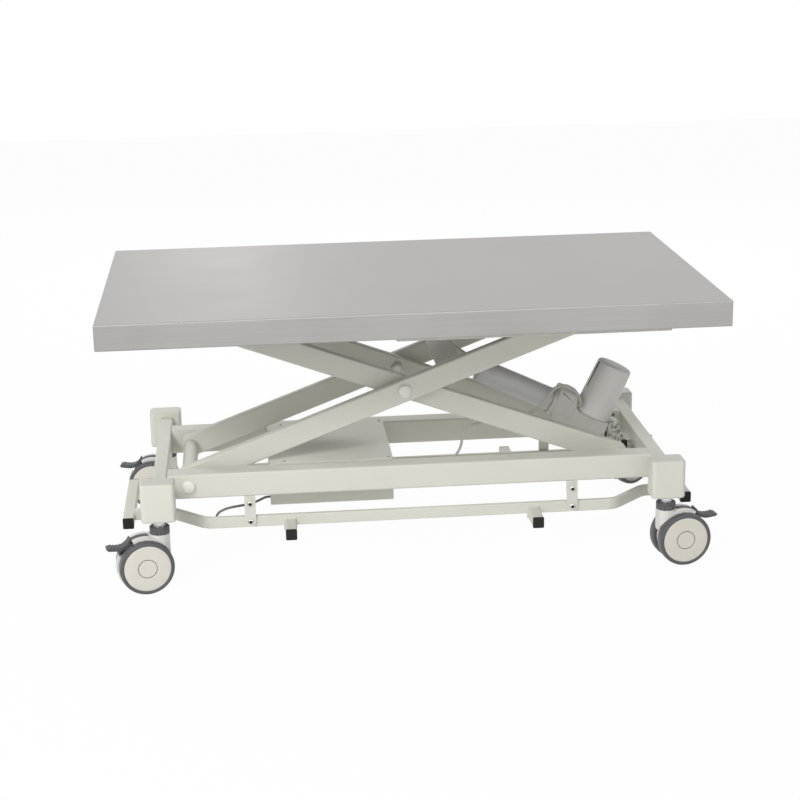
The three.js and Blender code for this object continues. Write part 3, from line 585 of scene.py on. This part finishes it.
lowerArm, upperArm = armSettings["lower"], armSettings["upper"]
centrePivot = at(armSettings["centre"][0], 0, armSettings["centre"][1])
outerTurn = centrePivot @ turnAbout("Y", -armSettings["angle"])
innerTurn = centrePivot @ turnAbout("Y", armSettings["angle"])
for side, sign in (("front", -1), ("rear", 1)):
    for kind, turn, start, end in (
            ("outer", outerTurn, -lowerArm, upperArm), ("inner", innerTurn, -upperArm, lowerArm)):
        tube = armSettings[kind]
        y0, y1 = sorted(sign * y for y in tube["walls"])
        arm = armBar(f"{side}_{kind}_arm_tube", start, end, y0, y1, tube["past"], tube["endCorner"])
        settle(place(arm, turn), powderCoat, kind + "_arms", "painted_frame", f"{side}_{kind}_arm")

# pivots: shafts with domed caps, bolts, rollers and the tubes round the shafts
pivotSettings = {
    "lower": (-484.5, 200.5), "upper": (-424.456, 531.388), "shaft": 10, "bolt": 9, "boltEnd": 58.2,
    "cap": 14.5, "capHeight": 7, "capRim": 2.4, "spacer": 14.5, "tube": 16.5, "tubeBore": 10.6,
    # heights from the middle: outside and inside of the rails, the outer arms and the inner arms
    "railFace": 192.3, "railInside": 187.7, "outerFace": 130.3, "outerInside": 105.7,
    "innerFace": 97.3, "innerInside": 72.7,
    "nut": {"radius": 14, "height": 10, "middle": 67.7, "edge": 1}}
shaft, bolt = pivotSettings["shaft"], pivotSettings["bolt"]
outerFace, innerFace = pivotSettings["outerFace"], pivotSettings["innerFace"]


def domedCap(face):
    cap, rim = pivotSettings["cap"], pivotSettings["capRim"]
    rise = pivotSettings["capHeight"] - rim
    angles = [math.radians(90 * i / 7) for i in range(7, -1, -1)]
    dome = [(cap * math.cos(a), face + rim + rise * math.sin(a)) for a in angles]
    return [(0, dome[0][1])] + dome[1:] + [(cap, face + 0.5), (cap - 0.5, face)]


# a ring round a shaft, its edges broken
def spacerSteps(core, high, low):
    ring = pivotSettings["spacer"]
    upper = [(core, high), (ring - 0.5, high), (ring, high - 0.5)]
    return upper + [(ring, low + 0.5), (ring - 0.5, low), (core, low)]


lowerHalf = domedCap(pivotSettings["railFace"]) + [(shaft, pivotSettings["railFace"])]
lowerHalf += spacerSteps(shaft, pivotSettings["railInside"], outerFace)
lowerShaft = turnedPiece("lower_pivot_shaft_turned", lowerHalf + mirroredSteps(lowerHalf))
lowerX, lowerZ = pivotSettings["lower"]
place(lowerShaft, at(lowerX, 0, lowerZ) @ zToY)
settle(lowerShaft, turnedNylon, "base", "white_nylon", "lower_pivot_shaft")

boltEnd = pivotSettings["boltEnd"]
boltSteps = domedCap(outerFace) + [(bolt, outerFace)]
boltSteps += spacerSteps(bolt, pivotSettings["outerInside"], innerFace)
boltSteps += [(bolt, boltEnd + 1.4), (bolt - 1, boltEnd + 0.2), (0, boltEnd)]
boltPattern = turnedPiece("bolt_pattern", boltSteps)
nutPattern = hexNut("bolt_nut_pattern", **pivotSettings["nut"])
for side, point in pointing.items():
    centreBolt = twin(boltPattern, side + "_bolt_turned", outerTurn @ point)
    settle(centreBolt, turnedNylon, "outer_arms", "white_nylon", side + "_centre_bolt")
    boltNut = twin(nutPattern, side + "_bolt_nut", outerTurn @ point)
    settle(boltNut, zincPlate, "outer_arms", "zinc_plate")
discard(boltPattern, nutPattern)

tube, tubeBore = pivotSettings["tube"], pivotSettings["tubeBore"]
for kind, turn, reach, along in (
        ("outer", outerTurn, pivotSettings["outerInside"], -lowerArm),
        ("inner", innerTurn, pivotSettings["innerInside"], -upperArm)):
    sleeveHalf = [(tubeBore, -reach), (tube - 0.8, -reach), (tube, -reach + 0.8)]
    sleeveSteps = sleeveHalf + mirroredSteps(sleeveHalf) + sleeveHalf[:1]
    sleeve = place(turnedPiece(kind + "_pivot_sleeve", sleeveSteps), turn @ at(along, 0, 0) @ zToY)
    settle(sleeve, powderCoat, kind + "_arms", "painted_frame", kind + "_arm_pivot_tube")

# each roller has its axle, which runs back through the arm to a collar
rollerSteps = [
    (0, 176), (9, 176), (9.8, 175.4), (10.6, 176), (21.5, 176), (23.1, 174.4), (23.1, 151.6), (21.5, 150),
    (13, 150)]
for level, face, turn, along in (
        ("upper", outerFace, outerTurn, upperArm), ("lower", innerFace, innerTurn, lowerArm)):
    axleSteps = [
        (13, face), (9, face), (9, face - 24.6), (11.4, face - 24.6), (12, face - 25.2), (12, face - 28.6),
        (0, face - 28.6)]
    rollerPattern = turnedPiece("roller_pattern", rollerSteps + axleSteps)
    for side, point in pointing.items():
        node = f"{side}_{level}_roller"
        roller = twin(rollerPattern, node + "_turned", turn @ at(along, 0, 0) @ point)
        settle(roller, turnedNylon, node, "white_nylon", node)
    discard(rollerPattern)

liftHead = roundEdges(cadCopy("lift_head_plate", "lift_head"), 1, 2, 40)
settle(liftHead, powderCoat, "outer_arms", "painted_frame", "lift_head")
upperHalf = [(0, 111.3), (10, 111.3), (13, 110.8), (14.5, 109), (14.5, 104.8), (14, 104.3), (10, 104.3)]
upperShaft = turnedPiece("upper_pivot_shaft_turned", upperHalf + mirroredSteps(upperHalf))
upperX, upperZ = pivotSettings["upper"]
place(upperShaft, at(upperX, 0, upperZ) @ zToY)
settle(upperShaft, zincPlate, "top", "zinc_plate", "upper_pivot_shaft")
print("scissor made")

# base: box rails, cross rails, posts with rounded edges, and the control box
postSettings = {"width": 73.5, "depth": 53, "bottom": 153.5, "height": 85.5, "corner": 9, "edge": 5}


def cornerPost(name):
    x, y = postSettings["width"] / 2, postSettings["depth"] / 2
    piece = block(name, (-x, -y, 0), (x, y, postSettings["height"]))
    pickEdges(piece, runsUp)
    bevelPicked(postSettings["corner"], 7)
    pickEdges(piece, liesLevel)
    bevelPicked(postSettings["edge"], 5)
    return smoothOver(piece, 30)


# place of each corner, and the way its caster points in degrees
corners = {
    "front_left": (-548, -259.5, 191.3), "front_right": (548, -259.5, 7.8),
    "rear_left": (-548, 285, 173.5), "rear_right": (548, 285, 32)}
postPattern = cornerPost("post_pattern")
for name, (x, y, swivel) in corners.items():
    post = twin(postPattern, name + "_corner_post", at(x, y, postSettings["bottom"]))
    settle(post, powderCoat, "base", "painted_frame", name + "_post")
discard(postPattern)

# how far the edges of each folded piece are rounded
foldedEdges = {
    "front_rail": 0.8, "rear_rail": 0.8, "left_cross_rail": 0.6, "right_cross_rail": 0.6,
    "control_box": 0.5, "control_box_lid": 0.4}
railHeads = 193.45  # the plain screw heads of the CAD rails stand out past this, and finer ones replace them
for node, width in foldedEdges.items():
    folded = cadCopy(node + "_folded", node)
    if node in ("front_rail", "rear_rail"):
        pickFaces(folded, lambda middle, normal: abs(middle.y) > railHeads)
        bpy.ops.mesh.delete(type="FACE")
        bpy.ops.mesh.select_all(action="SELECT")
        bpy.ops.mesh.fill_holes(sides=0)
    settle(roundEdges(folded, width, 2, 50), powderCoat, "base", "painted_frame", node)

# flange at the open end of the box, under the lid's left edge
flangeSettings = {"low": (-307, -140, 228.3), "high": (-276, 140, 229.8)}
flange = block("control_box_flange", flangeSettings["low"], flangeSettings["high"])
settle(roundEdges(flange, 0.5, 2), powderCoat, "base", "painted_frame")

# bracket of the actuator: two ears standing on a plate that is welded to the right cross rail
bracketSettings = {
    "pin": (482, 237.5), "pinRadius": 7, "pinReach": 25, "ear": 16, "inner": 15, "outer": 21,
    "floor": 191.3, "plate": 6, "half": 32, "left": 462, "right": 529.7}


def actuatorBracket(settings):
    x, z = settings["pin"]
    floor, half, ear = settings["floor"], settings["half"], settings["ear"]
    upright = at(x, 0, z) @ turnAbout("X", 90)
    outline = [(-ear, floor - z), (ear, floor - z)] + arcSteps(0, 0, ear, 0, 180, 20)
    inner, outer = settings["inner"], settings["outer"]
    ears = [roundEdges(outlinePiece("bracket_ear", outline, inner, outer), 0.8, 2, 50)]
    ears.append(twin(ears[0], "bracket_far_ear", upright @ at(0, 0, -inner - outer)))
    place(ears[0], upright)
    low, high = (settings["left"], -half, floor - settings["plate"]), (settings["right"], half, floor)
    plate = roundEdges(block("bracket_plate", low, high), 0.8, 2, 50)
    radius, reach = settings["pinRadius"], settings["pinReach"]
    pinHalf = [(0, -reach), (radius - 1, -reach), (radius, -reach + 1)]
    pin = turnedPiece("bracket_pin", pinHalf + mirroredSteps(pinHalf), 32)
    return joined("actuator_bracket_welded", *ears, plate, place(pin, at(x, 0, z) @ zToY))


settle(actuatorBracket(bracketSettings), galvanised, "base", "zinc_plate", "actuator_bracket")

# a black dome on the bracket's plate, where a dark half-round shows
darkDomeSettings = {"place": (507, -10, 191.3), "radius": 7.5, "height": 14, "crown": 4}
radius, height, crown = (darkDomeSettings[key] for key in ("radius", "height", "crown"))
darkDomeSteps = [(0, 0), (radius - 0.6, 0), (radius, 0.8), (radius, height - crown - 1)]
darkDomeSteps += arcSteps(radius - crown, height - crown, crown, 0, 80, 5) + [(0, height)]
darkDome = place(turnedPiece("dark_dome", darkDomeSteps, 40), at(*darkDomeSettings["place"]))
settle(darkDome, waxyPlug, "base", "pedal_plastic")


# a domed screw head standing on Z, and a near-black plug in the floor of its recess, which is painted shade
def screwPatterns(radius, height):
    angles = [math.radians(v) for v in (55, 42, 28, 14, 0)]
    dome = [(radius * math.cos(a), 0.8 + (height - 0.8) * math.sin(a)) for a in angles]
    headSteps = [(0, height * 0.3), (radius * 0.46, height * 0.3), (radius * 0.52, height)]
    headSteps += dome + [(radius * 0.98, 0), (0, 0)]
    # the near-black plug in the recess is painted shade
    paintedShadeSteps = [
        (0, height * 0.32), (radius * 0.45, height * 0.32), (radius * 0.47, height * 0.62),
        (0, height * 0.55)]
    head = turnedPiece("screw_head_pattern", headSteps, 32)
    return head, turnedPiece("screw_painted_shade_pattern", paintedShadeSteps, 32)


def screw(name, patterns, matrix, body):
    head, floor = patterns
    settle(twin(head, name, matrix), brightZinc, body, "zinc_plate")
    # the recess's near-black plug is painted shade, not a part of the screw
    settle(twin(floor, name + "_recess_painted_shade", matrix), paintedShadeSteel, body, "zinc_plate")


lidScrews = {"x": (-275.5, -46), "y": (-141, 141), "top": 231.6, "radius": 4, "height": 2.6}
lidPatterns = screwPatterns(lidScrews["radius"], lidScrews["height"])
lidPlaces = [(x, y) for x in lidScrews["x"] for y in lidScrews["y"]]
for number, (x, y) in enumerate(lidPlaces, 1):
    screw(f"lid_screw_{number}", lidPatterns, at(x, y, lidScrews["top"]), "base")
discard(*lidPatterns)
print("base made")

# foot frame: flat bars bent back round the casters, toe stubs, links, end tubes with plugs
foot = {
    "height": 25, "thick": 12, "bottom": 101.2, "front": 189, "jog": 80, "edge": 2.4,
    "bendStart": 434.5, "bendRadius": 37, "bendSteps": 8,
    "tube": 24, "tubeTop": 116.3, "tubeCorner": 2.5,
    "stubX": 268, "stubReach": 257, "endX": 622, "endReach": 136,
    "weld": 6, "weldRings": (0.45, 0.15), "weldSpread": 0.2,
    "plug": 3.5, "plugProud": 0.15, "plugCorner": 2.6, "plugEdge": 0.9, "gap": 0.3,
    "linkX": 354, "linkWidth": 24, "linkTop": 156, "linkLow": 115, "linkFace": 193.3, "linkEdge": 0.7,
    "screwRadius": 7, "screwHeight": 3.8, "screwGap": 0.1}
tubeHalf = foot["tube"] / 2
tubeMiddle = foot["tubeTop"] - tubeHalf


# one edge of the bar from the middle to its right end: two bends of an eighth of a turn
def barEdge(offset):
    middle = foot["front"] - foot["thick"] / 2
    radius, count = foot["bendRadius"], foot["bendSteps"]
    bendEnd = foot["bendStart"] + foot["jog"] + 2 * radius * (math.sqrt(2) - 1)
    first = arcSteps(foot["bendStart"], middle - radius, radius + offset, 90, 45, count)
    second = arcSteps(bendEnd, middle - foot["jog"] + radius, radius - offset, 225, 270, count)
    return first + second + [(foot["endX"] - tubeHalf - foot["gap"], middle - foot["jog"] + offset)]


# the pieces below are made for the rear side, in the middle of the frame
def footBar(name):
    outside, inside = barEdge(foot["thick"] / 2), barEdge(-foot["thick"] / 2)
    outline = [(-x, y) for x, y in reversed(outside)] + outside
    outline += list(reversed(inside)) + [(-x, y) for x, y in inside]
    piece = outlinePiece(name, outline, foot["bottom"], foot["bottom"] + foot["height"])
    pickEdges(piece, liesLevel)
    bevelPicked(foot["edge"], 4)
    return smoothOver(piece, 30)


def squareTube(name, y0, y1):
    piece = block(name, (-tubeHalf, y0, tubeMiddle - tubeHalf), (tubeHalf, y1, tubeMiddle + tubeHalf))
    pickEdges(piece, runsAlongY)
    bevelPicked(foot["tubeCorner"], 4)
    return piece


# the stub's root spreads into a weld against the bar
def toeStub(name):
    root = foot["front"] - 1
    piece = squareTube(name, root, foot["stubReach"])
    rings = {share: foot["front"] + foot["weld"] * share for share in (1, *foot["weldRings"])}
    for y in rings.values():
        onlySelect(piece)
        bpy.ops.object.mode_set(mode="EDIT")
        bpy.ops.mesh.select_all(action="SELECT")
        bpy.ops.mesh.bisect(plane_co=(0, y * mm, 0), plane_no=(0, 1, 0))
        bpy.ops.object.mode_set(mode="OBJECT")
    rings[0] = root
    for share, y in rings.items():
        spread = 1 + foot["weldSpread"] * (1 - share) ** 2
        pickPoints(piece, lambda point: abs(point.y - y) < 0.1)
        bpy.ops.transform.resize(value=(spread, 1, spread), center_override=(0, 0, tubeMiddle * mm))
        bpy.ops.object.mode_set(mode="OBJECT")
    return smoothOver(piece, 40)


# a plug stands on the plane y = 0
def endPlug(name):
    half = tubeHalf + foot["plugProud"]
    piece = block(name, (-half, 0, -half), (half, foot["plug"], half))
    pickEdges(piece, runsAlongY)
    bevelPicked(foot["plugCorner"], 4)
    pickEdges(piece, lambda a, b: runsAcrossY(a, b) and a.y > 1)
    bevelPicked(foot["plugEdge"], 3)
    return smoothOver(piece, 30)


def linkPlate(name):
    half = foot["linkWidth"] / 2
    piece = block(
        name, (-half, foot["front"] + foot["gap"], foot["linkLow"] - half),
        (half, foot["linkFace"], foot["linkTop"] + half))
    pickEdges(piece, runsAlongY)
    bevelPicked(half * 0.998, 12)
    pickEdges(piece, runsAcrossY)
    bevelPicked(foot["linkEdge"], 2)
    return smoothOver(piece, 30)


barPattern, stubPattern = footBar("foot_bar_pattern"), toeStub("stub_pattern")
plugPattern, linkPattern = endPlug("plug_pattern"), linkPlate("link_pattern")
endPattern = smoothOver(squareTube("end_tube_pattern", -foot["endReach"], foot["endReach"]), 30)
linkScrews = screwPatterns(foot["screwRadius"], foot["screwHeight"])
for side, sign in (("front", -1), ("rear", 1)):
    bar = twin(barPattern, side + "_foot_bar_bent", sideTurn[side])
    settle(bar, powderCoat, "foot_frame", "painted_frame", side + "_foot_bar")
    for end, x in (("left", -foot["linkX"]), ("right", foot["linkX"])):
        node = f"{side}_{end}_link"
        link = twin(linkPattern, node + "_plate", at(x, 0, 0) @ sideTurn[side])
        settle(link, powderCoat, node, "painted_frame", node)
        face = sign * (foot["linkFace"] + foot["screwGap"])
        for spot, z, body in (("upper", foot["linkTop"], "base"), ("lower", foot["linkLow"], "foot_frame")):
            screw(f"{node}_{spot}_screw", linkScrews, at(x, face, z) @ pointing[side], body)
    for end, x in (("left", -foot["stubX"]), ("right", foot["stubX"])):
        name = f"{side}_{end}_toe_stub"
        stub = twin(stubPattern, name, at(x, 0, 0) @ sideTurn[side])
        settle(stub, powderCoat, "foot_frame", "painted_frame")
        plug = twin(plugPattern, name + "_plug", at(x, sign * foot["stubReach"], tubeMiddle) @ sideTurn[side])
        settle(plug, waxyPlug, "foot_frame", "pedal_plastic")
for end, x in (("left", -foot["endX"]), ("right", foot["endX"])):
    node = f"{end}_foot_end_tube"
    settle(twin(endPattern, node + "_cut", at(x, 0, 0)), powderCoat, "foot_frame", "painted_frame", node)
    for side, sign in (("front", -1), ("rear", 1)):
        spot = at(x, sign * foot["endReach"], tubeMiddle) @ sideTurn[side]
        settle(twin(plugPattern, f"{node}_{side}_plug", spot), waxyPlug, "foot_frame", "pedal_plastic")
discard(barPattern, stubPattern, plugPattern, linkPattern, endPattern, *linkScrews)
print("foot frame made")

# actuator: housing, motor cover, outer tube and push rod, along its own axis
drive = {
    "slope": 25.4066, "motorReach": 58, "motorRadius": 40.4, "motorFoot": 42.4, "motorLow": 5,
    "motorTop": 133, "darkStripTurn": 14, "reliefDepth": 3.6,
    "tubeRadius": 27, "tubeWall": 3, "tubeStart": 162.3, "tubeEnd": 344, "guide": 24,
    "rod": 12.5, "rodGap": 0.4, "rodStart": 178, "rodReach": 397.404,
    # side views of the gear case and of the hood over the tube's end
    "case": [
        (-150, -30), (-150, 10), (-100, 10), (-92, 5), (-20, 5), (-18, 1), (-18, -20), (-26, -32), (-34, -35),
        (-142, -35)],
    "caseHalf": 30,
    "hood": [(-156, -24), (-156, 36), (-151, 40.5), (-112, 41.5), (-106, 37), (-101, 20), (-99, -24)],
    "hoodHalf": 32}
driveTurn = at(bracketSettings["pin"][0], 0, bracketSettings["pin"][1]) @ turnAbout("Y", drive["slope"])
alongRod = driveTurn @ turnAbout("Y", -90)
standUp = driveTurn @ turnAbout("X", 90)
motorTurn = driveTurn @ at(-drive["motorReach"], 0, 0)


def mouldedBlock(name, outline, half, edge):
    piece = outlinePiece(name, outline, -half, half)
    pickEdges(piece, liesLevel)
    bevelPicked(edge, 5)
    return place(piece, standUp)


case = mouldedBlock("case_block", drive["case"], drive["caseHalf"], 4)
hood = mouldedBlock("case_hood", drive["hood"], drive["hoodHalf"], 11)
rimSteps = [(27.3, 148), (31, 148), (32, 149), (32, 160.6), (30.6, 162), (27.3, 162), (27.3, 148)]
rim = place(turnedPiece("case_rim", rimSteps, 64), alongRod)
lugBlock = place(block("case_lug_block", (-30, -14, -15), (-8, 14, 15)), driveTurn)
lugHalf = [(7.5, -14), (14.2, -14), (15, -13.2)]
lug = turnedPiece("case_lug", lugHalf + mirroredSteps(lugHalf) + lugHalf[:1], 48)
housing = joined("gear_housing_moulded", case, hood, rim, lugBlock, place(lug, driveTurn @ zToY))
settle(smoothOver(housing, 35), sparkedAbs, "actuator", "actuator_plastic", "gear_housing")

low, top = drive["motorLow"], drive["motorTop"]
motorFoot, motorRadius = drive["motorFoot"], drive["motorRadius"]
motorSteps = [(0, low), (motorFoot - 5, low)] + arcSteps(motorFoot - 5, low + 5, 5, -75, 0, 5)
motorSteps += [(motorFoot, 40), (motorFoot - 0.8, 75)] + arcSteps(motorRadius - 7, top - 7, 7, 0, 80, 6)
motorSteps += [(24, top + 0.5), (0, top + 0.8)]
motor = place(turnedPiece("motor_cover_drawn", motorSteps, 72), motorTurn)
settle(motor, lightAbs, "actuator", "actuator_plastic", "motor_cover")
# a near-black strip down the side of the cover
darkStrip = block("motor_cover_dark_strip", (-motorFoot + 0.2, -1.3, 64), (-motorFoot + 3.4, 1.3, top - 7))
place(roundEdges(darkStrip, 0.4, 2), motorTurn @ turnAbout("Z", drive["darkStripTurn"]))
settle(darkStrip, waxyPlug, "actuator", "pedal_plastic")
# the sleeve in which the cable leaves
x, y, z = actuatorCable["points"][0]
reliefSteps = [(0, 0), (5.6, 0), (5.6, 3), (4.8, 3.6), (4.6, 9), (3.6, 10.4), (0, 10.4)]
relief = turnedPiece("cable_relief", reliefSteps, 32)
place(relief, at(x, y + drive["reliefDepth"], z) @ turnAbout("X", 90))
settle(relief, paleSheath, "actuator", "pale_cable")

radius, start, end = drive["tubeRadius"], drive["tubeStart"], drive["tubeEnd"]
inner, bore, guideEnd = radius - drive["tubeWall"], drive["rod"] + drive["rodGap"], end - drive["guide"]
tubeSteps = [
    (inner, start), (radius, start), (radius, end - 9), (radius - 0.5, end - 8.6), (radius - 0.5, end - 8),
    (radius, end - 7.6), (radius, end - 2), (radius - 2, end), (bore + 1, end), (bore, end - 1),
    (bore, guideEnd), (inner, guideEnd), (inner, start)]
outerTube = place(turnedPiece("outer_tube_drawn", tubeSteps, 72), alongRod)
settle(outerTube, drawnTube, "actuator", "drawn_aluminium", "outer_tube")

radius, start, reach = drive["rod"], drive["rodStart"], drive["rodReach"]
rodSteps = [
    (0, start), (radius - 1, start), (radius, start + 1), (radius, reach - 6), (radius - 1, reach - 4),
    (0, reach - 4)]
rodEnd = alongRod @ at(0, 0, reach) @ zToY
rod = place(turnedPiece("rod_bar", rodSteps), alongRod)
eyeHalf = [(0, -11), (14, -11), (15.5, -9.5)]
eye = place(turnedPiece("rod_eye", eyeHalf + mirroredSteps(eyeHalf)), rodEnd)
settle(joined("push_rod_ground", rod, eye), chromedRod, "rod", "polished_rod", "push_rod")
pinHalf = [(0, -26), (11, -26), (12, -25), (12, -22.6), (11.4, -22), (7, -22)]
rodPin = place(turnedPiece("rod_pin_turned", pinHalf + mirroredSteps(pinHalf)), rodEnd)
settle(rodPin, zincPlate, "rod", "zinc_plate")
print("actuator made")

# casters: twin wheels, hooded fork, collar and nut, brake pedal
caster = {
    "trail": 34.8, "axle": 58.5, "stem": 11, "stemLow": 144, "stemTop": 153.2,
    "nut": {"radius": 13.4, "height": 4.6, "middle": 142, "edge": 0.8}}
# profiles: hub with a groove round its cap, tread, and collar with a groove
hubSteps = [
    (0, 36.4), (18.4, 36.4), (18.9, 36), (19, 31.5), (21, 31.5), (21.1, 36), (21.6, 36.4), (35, 36.2),
    (45, 35.9), (48.8, 35.5), (49.9, 35), (50.4, 34.2), (50.4, 14), (46, 14), (43, 16), (16, 16), (13, 12.5),
    (6, 12.5), (6, 0), (0, 0)]
treadSteps = [
    (49.8, 13.6), (51.5, 12.7), (54.8, 12.6), (57, 13.6), (58.2, 15.4), (58.5, 17.4), (58.5, 31), (58.1, 33),
    (56.8, 35), (54.8, 36.2), (53, 36.5), (51.8, 36.3), (51, 35.7), (50.6, 34.8), (49.8, 34.8), (49.8, 13.6)]
collarSteps = [
    (13.2, 124.2), (20.4, 124.2), (21.4, 125.2), (21.4, 130), (20.9, 130.5), (20.9, 131.3), (21.4, 131.8),
    (21.4, 138.8), (20.6, 140), (19.4, 140.3), (17.6, 140.2), (17, 140.1), (13.2, 140.1), (13.2, 124.2)]
axlePlace = at(caster["trail"], 0, caster["axle"]) @ zToY


# a profile turned for the rear wheel, and its twin for the front wheel
def wheelPair(name, steps):
    rear = turnedPiece(name, steps, 72)
    front = twin(rear, name + "_front", axlePlace @ halfTurn)
    return joined(name, place(rear, axlePlace), front)


hubs, treads = wheelPair("hubs_pattern", hubSteps), wheelPair("treads_pattern", treadSteps)
collar = turnedPiece("collar_pattern", collarSteps, 48)
stem, stemLow, stemTop = caster["stem"], caster["stemLow"], caster["stemTop"]
shank = turnedPiece("shank_pattern", [(0, stemLow), (stem, stemLow), (stem, stemTop), (0, stemTop)], 32)
stemNut = joined("stem_pattern", hexNut("nut_pattern", **caster["nut"]), shank)
for name, (x, y, swivel) in corners.items():
    turn = at(x, y, 0) @ turnAbout("Z", swivel)
    wheels, body = name + "_wheel_set", name + "_caster"
    settle(twin(treads, name + "_treads", turn), mouldedTread, wheels, "wheel_rubber", name + "_wheels")
    settle(twin(hubs, name + "_hubs", turn), smoothAbs, wheels, "caster_hub")
    settle(twin(collar, name + "_swivel_collar", turn), filledNylon, body, "pedal_plastic")
    settle(twin(stemNut, name + "_stem_nut", turn), brightZinc, body, "zinc_plate")
    fork = roundEdges(cadCopy(name + "_fork", name + "_caster_housing"), 0.8, 2, 35)
    settle(fork, forkAbs, body, "caster_hub", name + "_caster_housing")
    pedal = roundEdges(cadCopy(name + "_pedal", name + "_brake_pedal"), 0.7, 2, 35)
    settle(pedal, filledNylon, name + "_brake", "pedal_plastic", name + "_brake_pedal")
discard(treads, hubs, collar, stemNut)
print("casters made")

# stage: pale floor, the key high on the left, a wide box in front and one behind that reaches under the top
# a lamp that is not mirrored would show as a white patch in the steel top
stageSettings = {
    "floor": 14, "fill": 0.3,
    "lamps": {
        "key_box": {
            "place": (-2.2, -3, 3.2), "aim": (0, 0, 0.3), "size": (1.4, 1.4), "energy": 102,
            "mirrored": False},
        "front_box": {
            "place": (-0.8, -4.2, 2.4), "aim": (0, 0, 0.35), "size": (6, 3), "energy": 72, "mirrored": True},
        "glint_box": {
            "place": (-0.46, 3.6, 1.75), "aim": (-0.4, -0.2, 0.6), "size": (0.5, 0.5), "energy": 1.3,
            "mirrored": True},
        "back_box": {
            "place": (0.6, 3.6, 2.3), "aim": (0, 0, 0.3), "size": (4, 1.4), "energy": 80, "mirrored": False}}}


# 1 for what the camera sees, straight or in a mirrored or clear surface, and 0 for light on its way round
def seenByCamera(tree):
    rays = addNode(tree, "ShaderNodeLightPath").outputs
    either = addNode(tree, "ShaderNodeMath", {
        0: rays["Is Camera Ray"], 1: rays["Is Glossy Ray"]}, operation="ADD").outputs[0]
    return addNode(tree, "ShaderNodeMath", {
        0: either, 1: rays["Is Transmission Ray"]}, operation="ADD", use_clamp=True).outputs[0]


# seen, the floor is nearly all white, and keeps a little of the object's shadow
def paleFloor():
    clearSelection()
    bpy.ops.mesh.primitive_plane_add(size=stageSettings["floor"], location=(0, 0, -0.0005))
    floor = nameIt(bpy.context.object, "floor")
    bpy.ops.object.transform_apply(location=True, rotation=True, scale=True)
    material = bpy.data.materials.new("floor_white")
    material.use_nodes = True
    tree = material.node_tree
    tree.nodes.clear()
    share = addNode(tree, "ShaderNodeMath", {0: seenByCamera(tree), 1: 0.97}, operation="MULTIPLY")
    matte = addNode(tree, "ShaderNodeBsdfDiffuse", {"Color": linear("#F4F4F2")})
    glow = addNode(tree, "ShaderNodeEmission", {"Color": (1, 1, 1, 1), "Strength": 1})
    mix = addNode(tree, "ShaderNodeMixShader", {0: share.outputs[0], 1: matte.outputs[0], 2: glow.outputs[0]})
    addNode(tree, "ShaderNodeOutputMaterial", {"Surface": mix.outputs[0]})
    floor.data.materials.append(material)
    return floor


paleFloor()
world = bpy.data.worlds.new("studio")
scene.world = world
world.use_nodes = True
tree = world.node_tree
tree.nodes.clear()
level = addNode(tree, "ShaderNodeMapRange", {
    "Value": seenByCamera(tree), "To Min": stageSettings["fill"], "To Max": 1})
sky = addNode(tree, "ShaderNodeBackground", {"Color": (1, 1, 1, 1), "Strength": level.outputs[0]})
addNode(tree, "ShaderNodeOutputWorld", {"Surface": sky.outputs[0]})
for name, settings in stageSettings["lamps"].items():
    lampData = bpy.data.lights.new(name, "AREA")
    lampData.shape = "RECTANGLE"
    lampData.size, lampData.size_y = settings["size"]
    lampData.energy = settings["energy"]
    lamp = bpy.data.objects.new(name, lampData)
    lamp.location = settings["place"]
    lamp.visible_glossy = settings["mirrored"]
    aim = Vector(settings["aim"]) - Vector(settings["place"])
    lamp.rotation_euler = aim.to_track_quat("-Z", "Y").to_euler()
    scene.collection.objects.link(lamp)
print("stage set")
